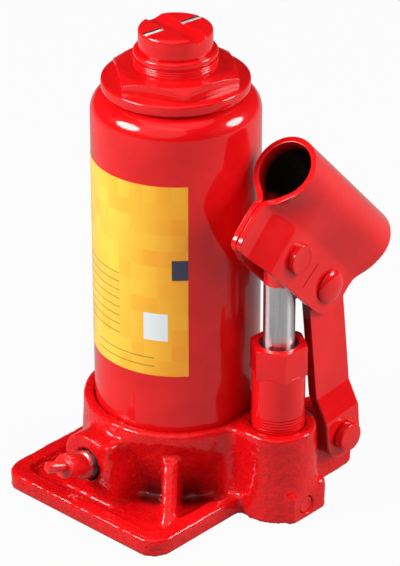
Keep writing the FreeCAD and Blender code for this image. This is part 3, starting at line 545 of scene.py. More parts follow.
# %% Enamel film
def enamel_film():
    """Colour, gloss and orange peel of a sprayed coat."""
    group, given, out = new_group(
        "enamel_film",
        [("Thin Colour", "Color", (0.8, 0.0, 0.0, 1)), ("Thick Colour", "Color", (0.6, 0.0, 0.0, 1)),
         ("Patch Scale", "Float", 40.0), ("Peel Scale", "Float", 420.0), ("Least Roughness", "Float", 0.2),
         ("Most Roughness", "Float", 0.32)],
        [("Colour", "Color"), ("Roughness", "Float"), ("Height", "Float")])
    place = own_place(group)
    patches = place_node(group, "TexNoise", Vector=place, Scale=given.outputs["Patch Scale"], Detail=3.0,
                         Roughness=0.55).outputs["Fac"]
    peel = place_node(group, "TexNoise", Vector=place, Scale=given.outputs["Peel Scale"], Detail=2.0,
                      Roughness=0.5).outputs["Fac"]
    colour = mix_colour(group, ramp(group, patches, 0.32, 0.68), given.outputs["Thick Colour"],
                        given.outputs["Thin Colour"])
    gloss = ramp(group, patches, 0.3, 0.7, given.outputs["Least Roughness"], given.outputs["Most Roughness"])
    for name, value in (("Colour", colour), ("Roughness", gloss), ("Height", peel)):
        group.links.new(value, out.inputs[name])
    return group


film = enamel_film()
print("group:", film.name)

# %% Plain enamels
THIN_RED, THICK_RED = (0.80, 0.006, 0.008, 1), (0.66, 0.002, 0.004, 1)
COAT, COAT_ROUGHNESS, PIGMENT_GLOSS = 1.0, 0.09, 0.05
FINE_PEEL, COARSE_PEEL = 330.0, 420.0
FINE_DEPTH, THICK_DEPTH = 0.02, 0.10


def enamel(name, peel_scale=COARSE_PEEL, peel_depth=0.0):
    """Red enamel with its peel in millimetres. Without a depth, another bump can take its place."""
    finish, tree, shader = new_finish(name)
    skin = use_group(tree, film, Thin_Colour=THIN_RED, Thick_Colour=THICK_RED, Patch_Scale=45.0,
                     Peel_Scale=peel_scale, Least_Roughness=0.3, Most_Roughness=0.45)
    tree.links.new(skin.outputs["Colour"], shader.inputs["Base Color"])
    tree.links.new(skin.outputs["Roughness"], shader.inputs["Roughness"])
    shader.inputs["Specular IOR Level"].default_value = PIGMENT_GLOSS
    shader.inputs["Coat Weight"].default_value = COAT
    shader.inputs["Coat Roughness"].default_value = COAT_ROUGHNESS
    if peel_depth:
        bump(tree, shader, skin.outputs["Height"], peel_depth)
    return finish, tree, shader


smooth_red = enamel("smooth_red_enamel", FINE_PEEL, FINE_DEPTH)[0]
thick_red = enamel("thick_red_enamel", COARSE_PEEL, THICK_DEPTH)[0]
print("enamels:", smooth_red.name, thick_red.name)

# %% [markdown]
# ## Cast skin
# Sand casting leaves a grainy skin, and the enamel only half fills it, so every grain has its own small
# glint. Two noises make the height: lumps of some millimetres and grain of about one millimetre. The
# hollows hold more paint and are a deeper red. The group puts out values alone, so that any cast or
# moulded piece can use it.

# %% Sand grain
def sand_grain():
    group, given, out = new_group(
        "sand_grain", [("Grain Scale", "Float", 700.0), ("Lump Scale", "Float", 160.0)],
        [("Height", "Float"), ("Hollows", "Float")])
    place = own_place(group)
    lumps = place_node(group, "TexNoise", Vector=place, Scale=given.outputs["Lump Scale"], Detail=2.0,
                       Roughness=0.5).outputs["Fac"]
    grains = place_node(group, "TexNoise", Vector=place, Scale=given.outputs["Grain Scale"], Detail=3.0,
                        Roughness=0.6).outputs["Fac"]
    height = sums(group, "MULTIPLY_ADD", grains, 0.55, lumps)
    group.links.new(height, out.inputs["Height"])
    group.links.new(ramp(group, grains, 0.52, 0.3), out.inputs["Hollows"])
    return group


grain = sand_grain()
print("group:", grain.name)

# %% Cast enamel
RIB_ACROSS = (0.777, 0.629)
# the hollows' deeper red, and a dark red of painted shade for the foot of the boss's wall
HOLLOW_RED, FOOT_SHADE_RED = (0.62, 0.002, 0.004, 1), (0.14, 0.001, 0.002, 1)
CAST_COAT, CAST_DEPTH = 0.8, 0.75


def foot_shade(tree):
    """Mask of painted shade at the foot of the boss's wall, under its collar, on both sides of the front rib.
    """
    x, y, height = split(tree, own_place(tree))
    spread = distance(tree, x, y)
    beside_rib = sums(tree, "ABSOLUTE", sums(tree, "MULTIPLY_ADD", x, RIB_ACROSS[0],
                                             product(tree, y, RIB_ACROSS[1])))
    # where the painted shade starts and where it is full, in millimetres
    limits = ((height, 21, 7), (spread, 37.2, 33.0), (x, 6.6, 11.0), (y, -8.5, -16.0), (beside_rib, 2.6, 4.2))
    return product(tree, *[mask_between(tree, *limit) for limit in limits])


def cast_enamel():
    finish, tree, shader = enamel("cast_red_enamel")
    sand = use_group(tree, grain, Grain_Scale=900.0, Lump_Scale=330.0)
    tint(tree, shader, sand.outputs["Hollows"], HOLLOW_RED)
    # painted shade: the foot of the wall turns dark red where shade falls under the collar
    tint(tree, shader, foot_shade(tree), FOOT_SHADE_RED)
    shader.inputs["Coat Weight"].default_value = CAST_COAT
    bump(tree, shader, sand.outputs["Height"], CAST_DEPTH)
    return finish


cast_red = cast_enamel()
print("cast finish:", cast_red.name)

# %% [markdown]
# ## Bare steel, rubber and brass
# The plunger is ground steel with fine marks along its length. Its upper end and the valve's thread lie
# at the edge of the spray: paint on one side, bare metal on the other. A second group gives that edge as
# a mask along a direction, a little ragged as a spray leaves it. Hidden pieces get plain finishes with
# the same tool marks. Rubber is nearly black and dull, and the strainer is brass.

# %% Tool marks and spray edge
def tool_marks():
    """Fine scratches, stretched by the given scales along each axis."""
    group, given, out = new_group(
        "tool_marks", [("Stretch", "Vector", (1.0, 1.0, 1.0))],
        [("Height", "Float"), ("Roughness", "Float"), ("Shade", "Float")])
    pulled = place_node(group, "Mapping", Vector=own_place(group), Scale=given.outputs["Stretch"])
    lines = place_node(group, "TexNoise", Vector=pulled.outputs[0], Scale=1.0, Detail=5.0,
                       Roughness=0.65).outputs["Fac"]
    group.links.new(lines, out.inputs["Height"])
    group.links.new(ramp(group, lines, 0.3, 0.7, 0.22, 0.42), out.inputs["Roughness"])
    group.links.new(ramp(group, lines, 0.25, 0.75), out.inputs["Shade"])
    return group


def spray_edge():
    """Mask that is 1 where the paint reached, across a ragged edge along a direction."""
    group, given, out = new_group(
        "spray_edge",
        [("Direction", "Vector", (0.0, 0.0, 1.0)), ("Start", "Float", 0.0), ("Width", "Float", 0.001),
         ("Ragged", "Float", 0.002)],
        [("Paint", "Float")])
    place = own_place(group)
    reach = place_node(group, "VectorMath", {"operation": "DOT_PRODUCT"})
    group.links.new(place, reach.inputs[0])
    group.links.new(given.outputs["Direction"], reach.inputs[1])
    spots = place_node(group, "TexNoise", Vector=place, Scale=260.0, Detail=2.0).outputs["Fac"]
    past = sums(group, "SUBTRACT", reach.outputs["Value"], given.outputs["Start"])
    past = sums(group, "MULTIPLY_ADD", sums(group, "SUBTRACT", spots, 0.5), given.outputs["Ragged"], past)
    group.links.new(ramp(group, past, 0.0, given.outputs["Width"]), out.inputs["Paint"])
    return group


marks = tool_marks()
edge = spray_edge()
print("groups:", marks.name, edge.name)

# %% Metals
STEEL, DARK_STEEL = (0.50, 0.50, 0.51, 1), (0.24, 0.24, 0.25, 1)
GROUND_STEEL, GROUND_SHADE = (0.78, 0.77, 0.78, 1), (0.50, 0.49, 0.50, 1)
BRASS, DARK_BRASS = (0.72, 0.52, 0.22, 1), (0.45, 0.30, 0.10, 1)
ROUND_MARKS, LONG_MARKS, CROSS_MARKS = (300, 300, 4000), (900, 900, 30), (2500, 2500, 2500)
FINE_SCRATCH, GAUZE_DEPTH = 0.01, 0.03
UP = (0, 0, 1)


def metal(name, pale, deep, stretch, depth):
    finish, tree, shader = new_finish(name)
    worked = use_group(tree, marks, Stretch=stretch)
    tree.links.new(mix_colour(tree, worked.outputs["Shade"], deep, pale), shader.inputs["Base Color"])
    tree.links.new(worked.outputs["Roughness"], shader.inputs["Roughness"])
    shader.inputs["Metallic"].default_value = 1.0
    bump(tree, shader, worked.outputs["Height"], depth)
    return finish, tree, shader


def paint_over(tree, shader, paint):
    """Make a shader a dull pigment under a clear coat where the mask says paint, and metal elsewhere."""
    tree.links.new(sums(tree, "SUBTRACT", 1.0, paint), shader.inputs["Metallic"])
    tree.links.new(sums(tree, "MULTIPLY", paint, COAT), shader.inputs["Coat Weight"])


def half_sprayed(name, pale, deep, stretch, direction, start, width, ragged):
    """Bare metal that turns into red enamel along a direction, in millimetres."""
    finish, tree, shader = metal(name, pale, deep, stretch, FINE_SCRATCH)
    paint = use_group(tree, edge, Direction=direction, Start=start * MM, Width=width * MM,
                      Ragged=ragged * MM).outputs["Paint"]
    tint(tree, shader, paint, THIN_RED)
    paint_over(tree, shader, paint)
    shader.inputs["Coat Roughness"].default_value = COAT_ROUGHNESS
    return finish


turned_steel = metal("turned_steel", STEEL, DARK_STEEL, ROUND_MARKS, FINE_SCRATCH)[0]
brass = metal("strainer_brass", BRASS, DARK_BRASS, CROSS_MARKS, GAUZE_DEPTH)[0]
rod_steel = half_sprayed("ground_rod", GROUND_STEEL, GROUND_SHADE, LONG_MARKS, UP, start=92.6, width=0.5,
                         ragged=2.0)
print("metals:", turned_steel.name, brass.name, rod_steel.name)

# %% Painted sheen lines on the plunger
# painted sheen: a pale steel colour in lines at two bearings, and how much less metal these lines are
SHEEN_STEEL, SHEEN_AT, SHEEN_DULL = (0.74, 0.71, 0.72, 1), (-96, -11), 0.7
# how far from its middle a line ends and where it is full, in radians
SHEEN_EDGE, SHEEN_CORE = 0.24, 0.06


def sheen_lines(finish, bearings):
    """Pale dull lines along the plunger at the given bearings in degrees: painted sheen for the bright bands
    on its sides.
    """
    tree = finish.node_tree
    shader = tree.nodes["Principled BSDF"]
    x, y = split(tree, own_place(tree))[:2]
    bearing = sums(tree, "ARCTAN2", sums(tree, "SUBTRACT", y, PUMP_Y * MM),
                   sums(tree, "SUBTRACT", x, PUMP_X * MM))
    lines = 0.0
    for degrees in bearings:
        away = sums(tree, "ABSOLUTE", sums(tree, "SUBTRACT", bearing, math.radians(degrees)))
        lines = sums(tree, "MAXIMUM", lines, ramp(tree, away, SHEEN_EDGE, SHEEN_CORE))
    bare = shader.inputs["Metallic"].links[0].from_socket
    lines = product(tree, lines, bare)
    tint(tree, shader, lines, SHEEN_STEEL)
    tree.links.new(sums(tree, "MULTIPLY_ADD", lines, -SHEEN_DULL, bare), shader.inputs["Metallic"])


# two lines of painted sheen along the plunger
sheen_lines(rod_steel, SHEEN_AT)
print("painted sheen lines at", SHEEN_AT, "degrees")

# %% Rubber and forged enamel
RUBBER, RUBBER_HOLLOWS = (0.035, 0.035, 0.036, 1), (0.012, 0.012, 0.013, 1)
RUBBER_ROUGHNESS, RUBBER_DEPTH = 0.6, 0.04
FORGED_MARKS, FORGED_DEPTH = (330, 330, 1900), 0.28


def rubber_finish():
    finish, tree, shader = new_finish("seal_rubber")
    sand = use_group(tree, grain, Grain_Scale=1500.0, Lump_Scale=500.0)
    shade = mix_colour(tree, sand.outputs["Hollows"], RUBBER, RUBBER_HOLLOWS)
    tree.links.new(shade, shader.inputs["Base Color"])
    shader.inputs["Roughness"].default_value = RUBBER_ROUGHNESS
    bump(tree, shader, sand.outputs["Height"], RUBBER_DEPTH)
    return finish


def forged_enamel():
    """Enamel over a forged and roughly machined face, which shows the scratches below it."""
    finish, tree, shader = enamel("forged_red_enamel")
    scratches = use_group(tree, marks, Stretch=FORGED_MARKS).outputs["Height"]
    bump(tree, shader, scratches, FORGED_DEPTH)
    return finish


rubber = rubber_finish()
forged_red = forged_enamel()
print("finishes:", rubber.name, forged_red.name)

# %% [markdown]
# ## Reservoir tube
# The oil tube is drawn steel with a rolled shoulder. It could be a cylinder with a bevel, but a lathe
# profile gives the shoulder its exact radius: the straight wall, the round shoulder in small steps, and a
# lip that the cap nut presses on. The filler hole at the rear is covered by its plug, so the wall stays
# whole.

# %% Reservoir tube
low, high = box_of("reservoir_tube")
TUBE_R, TUBE_FOOT, TUBE_TOP = high[0], low[2], high[2]
TUBE_BORE, SHOULDER, LIP_R, LIP, WALL_STEPS = 28.4, 7.8, 21.5, 2.2, (52, 90, 130)
wall = [(TUBE_R, height) for height in WALL_STEPS]
shoulder = arc((TUBE_R - SHOULDER, TUBE_TOP - SHOULDER), SHOULDER, 0, 90, steps=14)
tube_profile = [(TUBE_BORE, TUBE_FOOT), (TUBE_R, TUBE_FOOT), *wall, *shoulder, (LIP_R, TUBE_TOP),
                (LIP_R, TUBE_TOP - LIP), (TUBE_BORE, TUBE_TOP - SHOULDER), (TUBE_BORE, TUBE_FOOT)]
tube = lathe("oil_tube", tube_profile, steps=144)
smooth(tube)
dress(tube, smooth_red, "base", "red_paint", "reservoir_tube")

# %% [markdown]
# ## Cap nut
# The nut that closes the tube has a round flange and a low hexagon whose corners are turned off. The
# hexagon is a six sided bar, cut by a turned cone, as a real nut is chamfered.

# %% Cap nut
low, high = box_of("top_nut")
FLANGE_R, CAP_TOP = high[0], high[2]
CAP_BORE, FLANGE_FOOT, FLANGE_TOP, CAP_FOOT = 15.15, 157.0, 161.2, 160.4
CAP_CORNER_R, CAP_CORNER_AT, CONE_R, CONE_FOOT, CONE_TOP = 24.0, -38.6, 26.05, 159.0, 166.0
CHAMFER_FOOT, CHAMFER_R = 162.5, 20.07
SEAT_R, SEAT_FOOT, SEAT_TOP = 21.2, 155.2, 157.2
flange = lathe("cap_nut", ring(CAP_BORE, FLANGE_R, FLANGE_FOOT, FLANGE_TOP), steps=96)
soft_edges(flange, width=0.9)
corners = prism("cap_hexagon", 6, CAP_CORNER_R, CAP_FOOT, CAP_TOP, CAP_CORNER_AT)
cone_profile = [(CAP_BORE, CONE_FOOT), (CONE_R, CONE_FOOT), (CONE_R, CHAMFER_FOOT), (CHAMFER_R, CONE_TOP),
                (CAP_BORE, CONE_TOP), (CAP_BORE, CONE_FOOT)]
cut_with(corners, lathe("cap_cone", cone_profile, steps=96), "INTERSECT")
soft_edges(corners, width=0.55, angle=20)
seat = lathe("cap_seat", ring(CAP_BORE, SEAT_R, SEAT_FOOT, SEAT_TOP))
cap = join(flange, corners, seat)
dress(cap, forged_red, "base", "red_paint", "top_nut")

# %% [markdown]
# ## Ram
# The ram is a plain turned bar that shows only a short red end with three tool lines. The jack was
# sprayed closed, so the rest of the ram is bare ground steel, and shows it when it comes out. One finish
# does both: the spray edge lies at a height of the bar.

# %% Sprayed end
RAM_PAINT_FOOT, PAINT_EDGE, PAINT_RAGGED = 164.2, 0.8, 1.0


def bare_below(tree, shader, height):
    """Bare ground steel below a height, as the jack was sprayed closed. Gives the mask of the paint."""
    paint = use_group(tree, edge, Direction=UP, Start=height * MM, Width=PAINT_EDGE * MM,
                      Ragged=PAINT_RAGGED * MM).outputs["Paint"]
    shade = use_group(tree, marks, Stretch=LONG_MARKS).outputs["Shade"]
    steel = mix_colour(tree, shade, GROUND_SHADE, GROUND_STEEL)
    skin = shader.inputs["Base Color"].links[0].from_socket
    tree.links.new(mix_colour(tree, paint, steel, skin), shader.inputs["Base Color"])
    paint_over(tree, shader, paint)
    return paint


def ram_enamel():
    """Thick red at the ram's end, bare steel where it ran inside the cylinder."""
    finish, tree, shader = enamel("ram_red_enamel", COARSE_PEEL, THICK_DEPTH)
    bare_below(tree, shader, RAM_PAINT_FOOT)
    return finish


ram_finish = ram_enamel()
print("finish:", ram_finish.name)

# %% Ram
low, high = box_of("ram")
PISTON_R, SPIGOT_FOOT, RAM_TOP = high[0], low[2], high[2]
RAM_R, RAM_ROUND, SCREW_BORE, SCREW_FLOOR = 15.1, 1.0, 8.95, 80.2
SPIGOT_R, PISTON_FOOT, PISTON_TOP = 6.0, 25.0, 33.0
TOOL_FOOT, TOOL_PITCH, TOOL_COUNT, TOOL_DEPTH, TOOL_HALF = 166.9, 0.9, 3, 0.15, 0.2
tool_line = [(RAM_R, 0), (RAM_R - TOOL_DEPTH, TOOL_HALF), (RAM_R, 2 * TOOL_HALF)]
tool_lines = repeat(tool_line, TOOL_FOOT, TOOL_PITCH, TOOL_COUNT)
ram_profile = [(0, SPIGOT_FOOT), (SPIGOT_R, SPIGOT_FOOT), (SPIGOT_R, PISTON_FOOT), (PISTON_R, PISTON_FOOT),
               (PISTON_R, PISTON_TOP), (RAM_R, PISTON_TOP), *tool_lines,
               *arc((RAM_R - RAM_ROUND, RAM_TOP - RAM_ROUND), RAM_ROUND, 0, 90, steps=4),
               (SCREW_BORE, RAM_TOP), (SCREW_BORE, SCREW_FLOOR), (0, SCREW_FLOOR)]
ram = lathe("ram_bar", ram_profile, steps=96)
smooth(ram)
dress(ram, ram_finish, "ram", "red_paint", "ram")

# %% [markdown]
# ## Extension screw and saddle
# The screw turns out of the ram, and its head is the saddle that carries the load. Rings stand for the
# thread, because at this size they can't be told from a helix and a lathe makes them in one go. The
# saddle is cut by a wide round groove one way and by a narrow slot the other way. Both are made by
# cutting with simple bars, then the paint rounds the edges.

# %% Screw and saddle blank
low, high = box_of("extension_screw")
SADDLE_R, SHANK_FOOT, SADDLE_TOP = high[0], low[2], high[2]
SADDLE_FOOT, SADDLE_ROUND, SADDLE_TURN, SHANK_TOP = 172.2, 1.5, -8, 172.6
THREAD_PITCH, THREAD_CREST, THREAD_ROOT, THREAD_FOOT, THREAD_TURNS = 3.0, 8.9, 8.0, 85.4, 28
THREAD_RING = [(THREAD_CREST, 0), (THREAD_ROOT, 1.1), (THREAD_ROOT, 1.5), (THREAD_CREST, 2.6)]
thread = repeat(THREAD_RING, THREAD_FOOT, THREAD_PITCH, THREAD_TURNS)
shank = lathe("screw_shank", [(0, SHANK_FOOT), (THREAD_CREST, SHANK_FOOT), *thread, (THREAD_CREST, SHANK_TOP),
                              (0, SHANK_TOP)])
smooth(shank, angle=25)
rim = arc((SADDLE_R - SADDLE_ROUND, SADDLE_TOP - SADDLE_ROUND), SADDLE_ROUND, 0, 90, steps=6)
saddle = lathe("saddle_screw", [(0, SADDLE_FOOT), (SADDLE_R, SADDLE_FOOT), *rim, (0, SADDLE_TOP)], steps=96)
print("thread rings:", THREAD_TURNS)

# %% Saddle finish
SLOT_WIDTH, SLOT_DEPTH, SLOT_LENGTH, SLOT_SHIFT = 2.6, 0.85, 25.6, (-1.2, 0.2, 0)
SADDLE_PAINT_FOOT, WORN_METAL, WORN_MARKS = 170.9, 0.2, (900, 90, 900)
# pale steel of the slot floor, partly wear and partly a painted highlight, and a near black of painted shade
# on the slot walls
WORN_GLINT_STEEL, WORN_GLINT_SHADE, SLOT_SHADE_BLACK = (0.86, 0.85, 0.85, 1), (0.62, 0.60, 0.60, 1), (0.05, 0.004, 0.005, 1)


def saddle_enamel():
    """Thick red; the slot floor is rubbed bare steel made pale as a painted highlight, its walls painted
    shade.
    """
    finish, tree, shader = enamel("saddle_red_enamel", COARSE_PEEL, THICK_DEPTH)
    laid = place_node(tree, "Mapping", {"vector_type": "TEXTURE"}, Vector=own_place(tree),
                      Location=Vector(SLOT_SHIFT) * MM, Rotation=(0, 0, math.radians(SADDLE_TURN))).outputs[0]
    x, y, height = split(tree, laid)
    across, along = sums(tree, "ABSOLUTE", x), sums(tree, "ABSOLUTE", y)
    floor, half = SADDLE_TOP - SLOT_DEPTH, SLOT_WIDTH / 2
    # where each mask is 0 and where it is 1, in millimetres
    limits = ((along, 4.2, 4.6), (along, 12.9, 12.7), (across, half + 0.2, half + 0.1),
              (height, floor - 0.3, floor - 0.2))
    inside = product(tree, *[mask_between(tree, *limit) for limit in limits])
    bare = product(tree, inside, mask_between(tree, height, floor + 0.2, floor + 0.1))
    slot_shade = product(tree, inside, mask_between(tree, height, SADDLE_TOP - 0.05, SADDLE_TOP - 0.15))
    floor_grain = use_group(tree, marks, Stretch=WORN_MARKS).outputs["Shade"]
    # painted shade: the slot's walls turn near black
    tint(tree, shader, slot_shade, SLOT_SHADE_BLACK)
    # the slot floor: bare steel from wear, made pale as a painted highlight
    tint(tree, shader, bare, mix_colour(tree, floor_grain, WORN_GLINT_SHADE, WORN_GLINT_STEEL))
    paint = bare_below(tree, shader, SADDLE_PAINT_FOOT)
    metallic = sums(tree, "MAXIMUM", product(tree, bare, WORN_METAL), sums(tree, "SUBTRACT", 1.0, paint))
    tree.links.new(metallic, shader.inputs["Metallic"])
    return finish


saddle_finish = saddle_enamel()
print("finish:", saddle_finish.name)

# %% Groove and slot
GROOVE_WIDTH, GROOVE_DEPTH, GROOVE_LENGTH, GROOVE_RAISE, GROOVE_SIDES = 10.4, 5.2, 40, 3.3, 64


def cutter(name, width, depth, length, sides, turn):
    """A bar along X with an oval or square section, laid across the saddle's top."""
    bar = prism(name, sides, radius=1.0, foot=-length / 2, top=length / 2, angle=45)
    reach = 1.0 if sides > 4 else math.sqrt(0.5)
    bar.scale = (depth / reach, width / 2 / reach, 1)
    settle(bar)
    settle(bar, turn=(0, 90, 0))
    return settle(bar, at=(0, 0, SADDLE_TOP), turn=(0, 0, turn))


groove = cutter("saddle_groove", GROOVE_WIDTH, GROOVE_DEPTH, GROOVE_LENGTH, GROOVE_SIDES, SADDLE_TURN)
cut_with(saddle, settle(groove, at=(0, 0, GROOVE_RAISE)))
slot = cutter("saddle_slot", SLOT_WIDTH, SLOT_DEPTH, SLOT_LENGTH, 4, SADDLE_TURN + 90)
cut_with(saddle, settle(slot, at=SLOT_SHIFT))
soft_edges(saddle, width=0.3, angle=25)
join(saddle, shank)
dress(saddle, saddle_finish, "extension", "red_paint", "extension_screw")

# %% [markdown]
# ## Cast base
# The base is a sand casting: no edge is sharp, and every inside corner has a soft fillet. The solid has
# plain edges. Bevels would fail where so many forms meet, so a copy of it is remeshed into small even
# faces and smoothed, which wears the edges down and fills the corners at once. Before that, the hollows
# under the boss's collar are cut and the nose gets its square shoulder.

# %% Hollows and nose
NOSE_SIZE, NOSE_AT, NOSE_ROUND = (5.3, 10.8, 20.6), (3.45, -37.5, 18.5), 1.6
WAIST = [(29.5, 4.3), (37.6, 4.3), (37.6, 31.0), (35.5, 31.0), (34.6, 27.5), (33.0, 23.0), (31.2, 18.0),
         (30.0, 12.5), (29.5, 8.0), (29.5, 4.3)]
WAIST_LEFT, WAIST_REAR = 7.2, -10.5
RIB_SIZE, RIB_AT, RIB_TURN = (20, 6.0, 28), (34, 0, 9), -51


def nose_shoulder():
    """The square right shoulder of the valve's nose, as a block with rounded edges."""
    return soft_edges(block("nose_shoulder", NOSE_SIZE, NOSE_AT), NOSE_ROUND)


def boss_pockets():
    """The hollows under the boss's collar, on both sides of the front rib."""
    hollow = lathe("boss_pockets", WAIST, steps=96)
    open_mesh(hollow)
    for place, away in (((WAIST_LEFT, 0, 0), (-1, 0, 0)), ((0, WAIST_REAR, 0), (0, 1, 0))):
        bpy.ops.mesh.select_all(action="SELECT")
        bpy.ops.mesh.bisect(plane_co=Vector(place) * MM, plane_no=away, use_fill=True, clear_outer=True)
    bpy.ops.mesh.select_all(action="SELECT")
    bpy.ops.mesh.normals_make_consistent(inside=False)
    close_mesh()
    rib = block("rib_gap", RIB_SIZE, RIB_AT)
    return cut_with(hollow, settle(rib, turn=(0, 0, RIB_TURN)))


base = copy_of("base_casting", "cast_base")
cut_with(base, boss_pockets())
join(base, nose_shoulder())
print("casting before remeshing:", len(base.data.vertices), "points")

# %% [markdown]
# The underside stays flat, so the foot is smoothed in its plane alone. The wall beside the rib is
# smoothed more than the rest, as its hollows are the softest forms. Two cloud textures then press the
# skin inwards by up to some tenths of a millimetre, which leaves sand waves and keeps the casting inside
# its solid.

# %% Remesh and smooth
VOXEL, FOOT_EDGE, MID_LEVEL = 0.85, 1.2, 0.9
WALL_NEAR, WALL_FAR, WALL_FOOT, WALL_TOP, WALL_LEFT, WALL_REAR = 26, 38, 6, 34, 3, -4
RIB_HALF, RIB_TOP = 4, 25
# size of the clouds and depth, in millimetres
SAND = {"sand_waves": (6.0, 0.45), "sand_ripples": (2.6, 0.3)}


def on_wall(place):
    """True on the boss's wall beside the front rib, and above the rib."""
    x, y, z = place / MM
    beside_rib = abs(RIB_ACROSS[0] * x + RIB_ACROSS[1] * y)
    on_boss = WALL_NEAR < math.hypot(x, y) < WALL_FAR and WALL_FOOT < z < WALL_TOP
    return on_boss and x > WALL_LEFT and y < WALL_REAR and (beside_rib > RIB_HALF or z > RIB_TOP)


def smooth_where(piece, name, chosen, iterations, **axes):
    """Smooth the points that are chosen by their place, and keep them as a vertex group."""
    group = piece.vertex_groups.new(name=name)
    group.add([vertex.index for vertex in piece.data.vertices if chosen(vertex.co)], 1.0, "REPLACE")
    apply_modifier(piece, "SMOOTH", factor=0.5, iterations=iterations, vertex_group=name, **axes)


def sand_clouds(name, size):
    clouds = bpy.data.textures.new(name, "CLOUDS")
    clouds.noise_scale = size * MM
    clouds.noise_depth = 2
    return clouds


apply_modifier(base, "REMESH", mode="VOXEL", voxel_size=VOXEL * MM, adaptivity=0.0)
smooth_where(base, "skin", lambda place: place.z > FOOT_EDGE * MM, iterations=6)
smooth_where(base, "wall", on_wall, iterations=30)
smooth_where(base, "foot", lambda place: place.z <= FOOT_EDGE * MM, iterations=14, use_z=False)
for name, (size, depth) in SAND.items():
    apply_modifier(base, "DISPLACE", texture=sand_clouds(name, size), texture_coords="LOCAL",
                   mid_level=MID_LEVEL, strength=depth * MM, vertex_group="skin")
take(base)
bpy.ops.object.shade_smooth()
dress(base, cast_red, "base", "cast_red_paint", "base_casting")

# %% [markdown]
# ## Overload plug
# The screwed plug of the overload valve sits a little below the face of its pad, and the paint has closed
# its slot. A shallow turned dish takes its place.

# %% Overload plug
PLUG_BACK = box_of("overload_plug")[0][0]
PLUG_R, PLUG_FACE, DISH_EDGE_R, DISH_EDGE, DISH_R, DISH_FLOOR = 3.15, 58.7, 2.5, 58.75, 2.0, 58.5
plug_profile = [(0, PLUG_BACK), (PLUG_R, PLUG_BACK), (PLUG_R, PLUG_FACE), (DISH_EDGE_R, DISH_EDGE),
                (DISH_R, DISH_FLOOR), (0, DISH_FLOOR)]
plug = lathe("overload_plug_dish", plug_profile, steps=48)
soft_edges(plug, width=0.2, segments=2)
settle(plug, turn=(0, 90, 0))
settle(plug, at=(0, *middle_of("overload_plug")[1:]))
dress(plug, thick_red, "base", "red_paint", "overload_plug")

# %% [markdown]
# ## Pump
# The pump barrel stands in its boss: a turned body with a hexagon above it, and the plunger comes out of
# the middle. The barrel and the hexagon are made as the cap nut was, and four rings show the end of its
# thread. The plunger keeps its solid and only gets the ground steel finish.

# %% Pump
low, high = box_of("pump_cylinder")
BARREL_FOOT, HEXAGON_TOP = low[2], high[2]
BARREL_R, BARREL_BORE, BARREL_TOP, PLAIN_TOP, PLAIN_FOOT = 9.8, 5.85, 56.6, 35.0, 40.3
RING_FOOT, RING_PITCH, RING_COUNT, RING_DEPTH = 35.3, 1.15, 4, 0.5
RING_R = BARREL_R - RING_DEPTH
BARREL_RING = [(RING_R, 0), (BARREL_R, 0.3), (BARREL_R, 0.75), (RING_R, 1.05)]
HEXAGON_R, HEXAGON_BORE, HEXAGON_FOOT, HEXAGON_AT = 10.9, 7.25, 56.0, -35.6
PUMP_CONE = [(HEXAGON_BORE, 55.0), (9.6, 55.0), (12.0, 57.2), (12.0, 66.8), (9.4, 68.6), (HEXAGON_BORE, 68.6),
             (HEXAGON_BORE, 55.0)]
rings = repeat(BARREL_RING, RING_FOOT, RING_PITCH, RING_COUNT)
barrel = lathe("pump_barrel", [(BARREL_BORE, BARREL_FOOT), (BARREL_R, BARREL_FOOT), (BARREL_R, PLAIN_TOP),
                               *rings, (BARREL_R, PLAIN_FOOT), (BARREL_R, BARREL_TOP),
                               (BARREL_BORE, BARREL_TOP), (BARREL_BORE, BARREL_FOOT)])
smooth(barrel)
hexagon = prism("pump_hexagon", 6, HEXAGON_R, HEXAGON_FOOT, HEXAGON_TOP, HEXAGON_AT)
cut_with(hexagon, lathe("pump_cone", PUMP_CONE), "INTERSECT")
soft_edges(hexagon, width=0.5, angle=20)
join(barrel, hexagon)
settle(barrel, at=(PUMP_X, PUMP_Y, 0))
dress(barrel, thick_red, "base", "red_paint", "pump_cylinder")

# %% [markdown]
# ## Handle socket
# The socket is one steel sheet: round above, its two walls leave the tube at a tangent, are pinched
# together at the mouth and open into flat ears over the pins. It takes the most skill. A bent pipe could
# not make it, so a flat grid is the sheet. Its columns run along the tube, its rows run from one foot
# over the top to the other, and every point is set on the middle of the bent sheet. Here the mouth is at
# the origin and the tube runs along Y.

# %% Edges of the sheet
EAR_END, SOCKET_END, EAR_LEAD, EAR_FOOT = 57.1, 61.0, 3.5, 33.9
LEAD_START, LEAD_RUN, OVERHANG_START, OVERHANG_RUN = 9.5, 9.0, 5.0, 13.5
FRONT_ROUND, REAR_ROUND = 4.0, 10.6


def ease(share):
    """Soft step from 0 to 1."""
    share = min(max(share, 0.0), 1.0)
    return share * share * (3 - 2 * share)


def corner_cut(height, radius):
    """How far an ear's round lower corner draws back at a height."""
    below = max(-height - (EAR_FOOT - radius), 0)
    return radius - math.sqrt(max(radius ** 2 - below ** 2, 0))


def front_at(height):
    """How far the front edge leads the mouth at a height below the tube's axis."""
    return -EAR_LEAD * ease((-height - LEAD_START) / LEAD_RUN) + corner_cut(height, FRONT_ROUND)


def rear_at(height):
    """Where the rear edge is: the tube overhangs the ears, and the ears end in a round."""
    drawn_in = (EAR_END - SOCKET_END) * ease((-height - OVERHANG_START) / OVERHANG_RUN)
    return SOCKET_END + drawn_in - corner_cut(height, REAR_ROUND)


print("sheet from %.1f to %.1f mm at the axis" % (front_at(0), rear_at(0)))

# %% Points of the sheet
SHEET, MID_R, THROAT, WALL_START = 2.2, 11.4, 14.4, 2.0
EAR_W, PINCHED_W, PINCH_RUN = 7.5, 1.25, 16.5
ARC_ROWS, WALL_ROWS, EAR_ROWS, ROUND_ANGLES = 14, 6, 4, (10, 20, 30, 39, 47, 54, 61, 68, 90)


